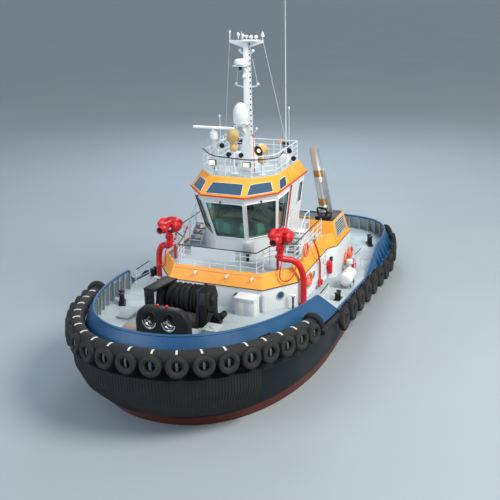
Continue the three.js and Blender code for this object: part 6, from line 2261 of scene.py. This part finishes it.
@dataclass
class DeckFittings:
    """Bitts, locker, hatch, liferafts, stairs, gates and small deck gear."""

    hatch_place: Point = (7.85, 1.45, 3.15)
    raft_place: Point = (-0.9, 4.75, 0.52)
    rise: float = 0.205
    going: float = 0.215
    landing: float = 4.818
    pots: float = 4.85
    flush_hatches: tuple[Point, ...] = (
        (-6.2, 2.4, 0.36), (-6.2, -2.4, 0.36), (-9.4, 1.5, 0.45), (-9.4, -1.5, 0.45), (-5.9, 0, 0.5),
    )
    aft_deck: float = 1.4

    def build(self) -> None:
        """Builds every fitting on the decks."""
        for end in ("fore", "aft"):
            for side in Side:
                dress(f"bitts_{end}_{side.label}", BLACK, bevel=0.012, smooth=50)
        self.locker()
        self.hatch()
        for side in Side:
            self.raft(side)
            self.stairs(side)
        self.small_gear()

    def locker(self) -> None:
        """Builds the deck locker, with its overhanging lid, latches and ribs."""
        locker = Bench("locker_case")
        locker.block((4.59, 1.29, 2.47), (5.21, 2.21, 3.28))
        locker.block((4.56, 1.26, 3.25), (5.24, 2.24, 3.36))
        for y in (1.52, 1.98):
            locker.block((5.205, y - 0.16, 2.62), (5.222, y + 0.16, 3.14))
            locker.block((5.215, y - 0.03, 3.16), (5.245, y + 0.03, 3.28))
        locker.done(WHITE, replaces="locker", bevel=0.025)

    def hatch(self) -> None:
        """Builds the foredeck hatch's coaming and lid."""
        dress("hatch_coaming", GREY, bevel=0.01)
        lid = Bench("hatch_cover", self.hatch_place)
        lid.block((-0.36, -0.36, -0.049), (0.36, 0.36, 0))
        lid.lathe([(0.14, 0), (0.14, 0.03), (0.1, 0.05)])
        for y in (-0.2, 0.2):
            lid.block((0.27, y - 0.04, -0.01), (0.35, y + 0.04, 0.035))
        lid.done(GREY, "hatch_lid", "hatch_lid", bevel=0.012)

    def raft(self, side: Side) -> None:
        """Builds a liferaft's canister with its bands and cradle.

        Args:
            side: The side that it is on.
        """
        x, y, above = self.raft_place
        middle = (x, y, EDGE.height(x) + above)
        shell, cradle = (Bench(f"raft_{part}_{side.label}", middle, side) for part in ("shell", "cradle"))
        half = [(0.1, 0.575), (0.24, 0.56), (0.31, 0.5), (0.328, 0.4), (0.318, 0.3), (0.328, 0.29), (0.318, 0.28),
                (0.325, 0.02)]
        shell.lathe([(r, -h) for r, h in half] + [(0.332, 0.0)] + half[::-1], axis=(1, 0, 0), sides=36)
        shell.done(GEL, replaces=f"liferaft_{side.label}", smooth=45)
        for at in (-0.3, 0.3):
            cradle.block((at - 0.03, -0.26, -0.5), (at + 0.03, -0.2, -0.1))
            cradle.block((at - 0.03, 0.2, -0.5), (at + 0.03, 0.26, -0.1))
            cradle.block((at - 0.03, -0.26, -0.4), (at + 0.03, 0.26, -0.33))
            cradle.hoop((at * 0.55, 0, 0), (1, 0, 0), 0.327, 0.01)
        cradle.lathe([(0.05, 0), (0.05, 0.09), (0.02, 0.11)], (0.5, -0.33, -0.2), (1, 0, 0))
        cradle.done(STEEL, bevel=0.004)

    def stairs(self, side: Side) -> None:
        """Builds the steps to the wheelhouse side platform, with their handrails.

        Args:
            side: The side that they are on.
        """
        names = (f"steps_{side.label}", f"step_rails_{side.label}", f"step_treads_{side.label}")
        steps, rails, treads = (Bench(name, side=side) for name in names)
        y0, y1, top = 2.24, 2.86, self.landing
        for k in range(4):
            x, z = 1.0 - self.going * k, 3.998 + self.rise * (k + 1)
            steps.block((x - 0.255, y0, z - 0.035), (x, y1, z))
            for slot in range(4):
                treads.block((x - 0.24 + 0.06 * slot, y0 + 0.04, z), (x - 0.215 + 0.06 * slot, y1 - 0.04, z + 0.006))
        steps.block((-0.56, 1.845, top - 0.045), (0.16, y1, top))
        string = [(1.0, 4.0), (0.74, 4.0), (-0.56, 4.63), (-0.56, top), (0.1, top), (1.0, 4.2)]
        for y in (y0, y1):
            steps.plate([(a, y - 0.015, b) for a, b in string], (0, 0.03, 0))
        line = [(0.98, 2.87, 5.05), (0.12, 2.87, 5.75), (-0.54, 2.87, 5.75), (-0.54, 1.97, 5.75)]
        rails.tube(line, 0.019)
        rails.tube([(a, b, c - 0.45) for a, b, c in line], 0.013)
        for a, b, c in line:
            rails.rod((a, b, c), (a, b, 4.2 if a > 0.9 else 4.8), 0.018, sides=8)
        steps.done(WHITE, replaces=f"stairs_{side.label}", bevel=0.004)
        rails.done(WHITE)
        treads.done(DARK)

    def small_gear(self) -> None:
        """Builds gates, the control box, mats and other small deck gear."""
        finishes = {"gates": WHITE, "small_black_gear": BLACK, "small_grey_gear": GREY, "foredeck_mat": BUFF,
                    "yellow_gear": YELLOW, "stern_capstan": BLACK}
        benches = [Bench(name) for name in finishes]
        white, black, grey, mat, yellow, capstan = benches
        fore, aft = EDGE.height(7), self.aft_deck
        grey.block((2.2, 0.66, 4.4), (2.62, 1.06, 4.9))
        black.block((2.45, 0.8, 4.0), (2.56, 0.92, 4.4))
        grey.block((7.0, -3.2, fore), (7.7, -2.6, fore + 0.16))
        mat.block((8.15, -2.35, 2.75), (9.0, -1.6, 2.93), turn=4)
        yellow.block((-6.05, 4.75, 1.405), (-5.7, 5.05, 1.75))
        yellow.lathe([(0.09, 0), (0.09, 0.3), (0.04, 0.34)], (-1.2, 3.0, 4.0))
        for x, y, wide in self.flush_hatches:
            grey.block((x - wide, y - wide, 1.395), (x + wide, y + wide, 1.46))
            black.lathe([(0.07, 0), (0.07, 0.02), (0.03, 0.03)], (x + wide * 0.5, y, 1.46))
        for y in (-1.35, -0.45, 0.45, 1.35):
            black.block((-11.52, y - 0.22, 1.5), (-11.44, y + 0.22, 1.8))
        black.block((-10.7, -0.5, aft), (-10.1, 0.5, 1.95))
        barrel = [(0.36, 0), (0.36, 0.06), (0.2, 0.1), (0.17, 0.4), (0.26, 0.55), (0.26, 0.62), (0.1, 0.66)]
        capstan.lathe(barrel, (-7.6, 0, aft))
        cowl = [(0.12, 0), (0.12, 0.42), (0.24, 0.46), (0.25, 0.56), (0.16, 0.66), (0.05, 0.7)]
        pot = [(0.09, 0), (0.09, 0.3), (0.12, 0.33), (0.12, 0.38), (0.05, 0.4)]
        z, deck = EDGE.height(2.1), EDGE.height(1.3)
        fore_gate = [(3.5, 4.62, z + 0.2), (3.4, 4.62, z + 1.02), (2.1, 4.62, z + 1.0), (2.1, 4.62, z)]
        aft_gate = [(-3.6, 4.4, 1.65), (-3.6, 4.4, 2.6), (-4.9, 4.4, 2.5), (-4.9, 4.4, 1.52)]
        for side in Side:
            white.stand(side=side)
            black.stand(side=side)
            for gate, drop, radius in ((fore_gate, 0.34, 0.024), (aft_gate, 0.45, 0.022)):
                black.tube(gate[1:3], radius)
                white.tube([(a, b, c - drop) for a, b, c in gate[1:3]], 0.014)
                white.tube(gate[:2], 0.02)
                white.tube(gate[2:], 0.02)
            for x in (1.1, 1.42):
                black.lathe(pot, (x, self.pots, deck))
            black.block((0.95, self.pots - 0.16, deck - 0.02), (1.57, self.pots + 0.16, deck + 0.03))
            white.lathe(cowl, (-5.3, 3.2, aft))
        for bench, finish in zip(benches, finishes.values()):
            bench.done(finish, bevel=0.008)


@dataclass
class Drives:
    """The steerable thrusters and their propellers, below the water."""

    thruster_edge: float = 0.008
    propeller_edge: float = 0.006

    def build(self) -> None:
        """Dresses both drives."""
        for side in Side:
            thruster, propeller = f"thruster_{side.label}", f"propeller_{side.label}"
            dress(thruster, HULL, bevel=self.thruster_edge, smooth=40, body=thruster)
            dress(propeller, BRONZE, bevel=self.propeller_edge, smooth=40, body=propeller)


# ---- studio


@dataclass
class Studio:
    """A pale floor at the waterline, soft light and the photograph's camera."""

    place: Point = (33.761, 13.690, 16.782)
    right: Point = (-0.3692, 0.9291, -0.0221)
    forward: Point = (-0.8711, -0.3542, -0.3401)
    lens: float = 56.01
    reach: float = 4000.0
    floor_size: float = 2600.0
    floor_colours: tuple[str, str] = ("#8f9ba3", "#98a4ab")
    sky_colour: str = "#dfe7ee"

    def build(self) -> None:
        """Builds the floor, the lights, the sky and the camera."""
        self.floor()
        bpy.context.scene.view_settings.view_transform = "Standard"
        self.light("key", (10, 34, 40), 24.0, 30000.0, "#fff6ea")
        self.light("fill", (40, -22, 22), 30.0, 8400.0, "#e6efff")
        self.light("back", (-36, -12, 30), 24.0, 8500.0, "#eef4ff")
        self.sky()
        self.camera()

    def floor(self) -> None:
        """Builds the floor, a broad sheet with a softly mottled matt coat."""
        choose()
        bpy.ops.mesh.primitive_grid_add(x_subdivisions=8, y_subdivisions=8, size=self.floor_size, location=(0, 0, 0))
        floor = bpy.context.object
        floor.name = "studio_floor"
        material, tree, shader = blank_material("studio floor matt coat")
        place = add_node(tree, "ShaderNodeTexCoord").outputs["Object"]
        cloud = add_node(tree, "ShaderNodeTexNoise", {"Scale": 0.12, "Detail": 3.0}, Vector=place)
        dull, pale = (linear(colour) for colour in self.floor_colours)
        tone = add_node(tree, "ShaderNodeMixRGB", {"Color1": dull, "Color2": pale}, Fac=cloud.outputs[0])
        feed(tree, shader, {"Roughness": 0.85}, Base_Color=tone.outputs[0])
        floor.data.materials.append(material)

    def sky(self) -> None:
        """Makes the overcast sky: brighter and darker sectors, which the glass and the steel mirror."""
        sky = bpy.data.worlds.new("overcast")
        bpy.context.scene.world = sky
        sky.use_nodes = True
        tree = sky.node_tree
        around = add_node(tree, "ShaderNodeTexCoord").outputs["Generated"]
        flat = add_node(tree, "ShaderNodeMapping", {"Scale": (1.0, 1.0, 0.1)}, Vector=around).outputs[0]
        sectors = add_node(tree, "ShaderNodeTexNoise", {"Scale": 2.6, "Detail": 1.0}, Vector=flat).outputs[0]
        span = {"From Min": 0.4, "From Max": 0.6, "To Min": 0.2, "To Max": 1.1}
        bright = add_node(tree, "ShaderNodeMapRange", span, Value=sectors)
        colour = {"Color": linear(self.sky_colour)}
        feed(tree, tree.nodes["Background"], colour, Strength=bright.outputs[0])

    def light(self, name: str, place: Point, size: float, power: float, colour: str) -> None:
        """Adds a soft area light aimed at the boat.

        Args:
            name: Its name.
            place: Where it hangs.
            size: Its side.
            power: Its power in watts.
            colour: Its colour as sRGB hex.
        """
        data = bpy.data.lights.new(name, "AREA")
        data.shape, data.size, data.energy, data.color = "DISK", size, power, linear(colour)[:3]
        lamp = bpy.data.objects.new(name, data)
        lamp.location = place
        lamp.rotation_euler = (Vector((0, 0, 3)) - Vector(place)).to_track_quat("-Z", "Y").to_euler()
        bpy.context.scene.collection.objects.link(lamp)

    def camera(self) -> None:
        """Sets the camera at the photograph's place and angle."""
        data = bpy.data.cameras.new("photo")
        data.lens, data.sensor_width, data.clip_end = self.lens, 36, self.reach
        right, forward = Vector(self.right).normalized(), Vector(self.forward).normalized()
        up = right.cross(forward)
        camera = bpy.data.objects.new("photo", data)
        camera.matrix_world = Matrix.Translation(self.place) @ Matrix((right, up, -forward)).transposed().to_4x4()
        bpy.context.scene.collection.objects.link(camera)
        bpy.context.scene.camera = camera


def main() -> None:
    """Builds each part of the boat in order, then the studio."""
    parts = (
        HullForm(), Bulwarks(), BowFender(), SideFenders(), Deckhouse(), Wheelhouse(), Guards(), RoofGear(),
        MastGear(), Uptakes(), FireGear(), TowingGear(), DeckFittings(), Drives(), Studio(),
    )
    for part in parts:
        log.info("building %s", type(part).__name__)
        part.build()


if __name__ == "__main__":
    main()
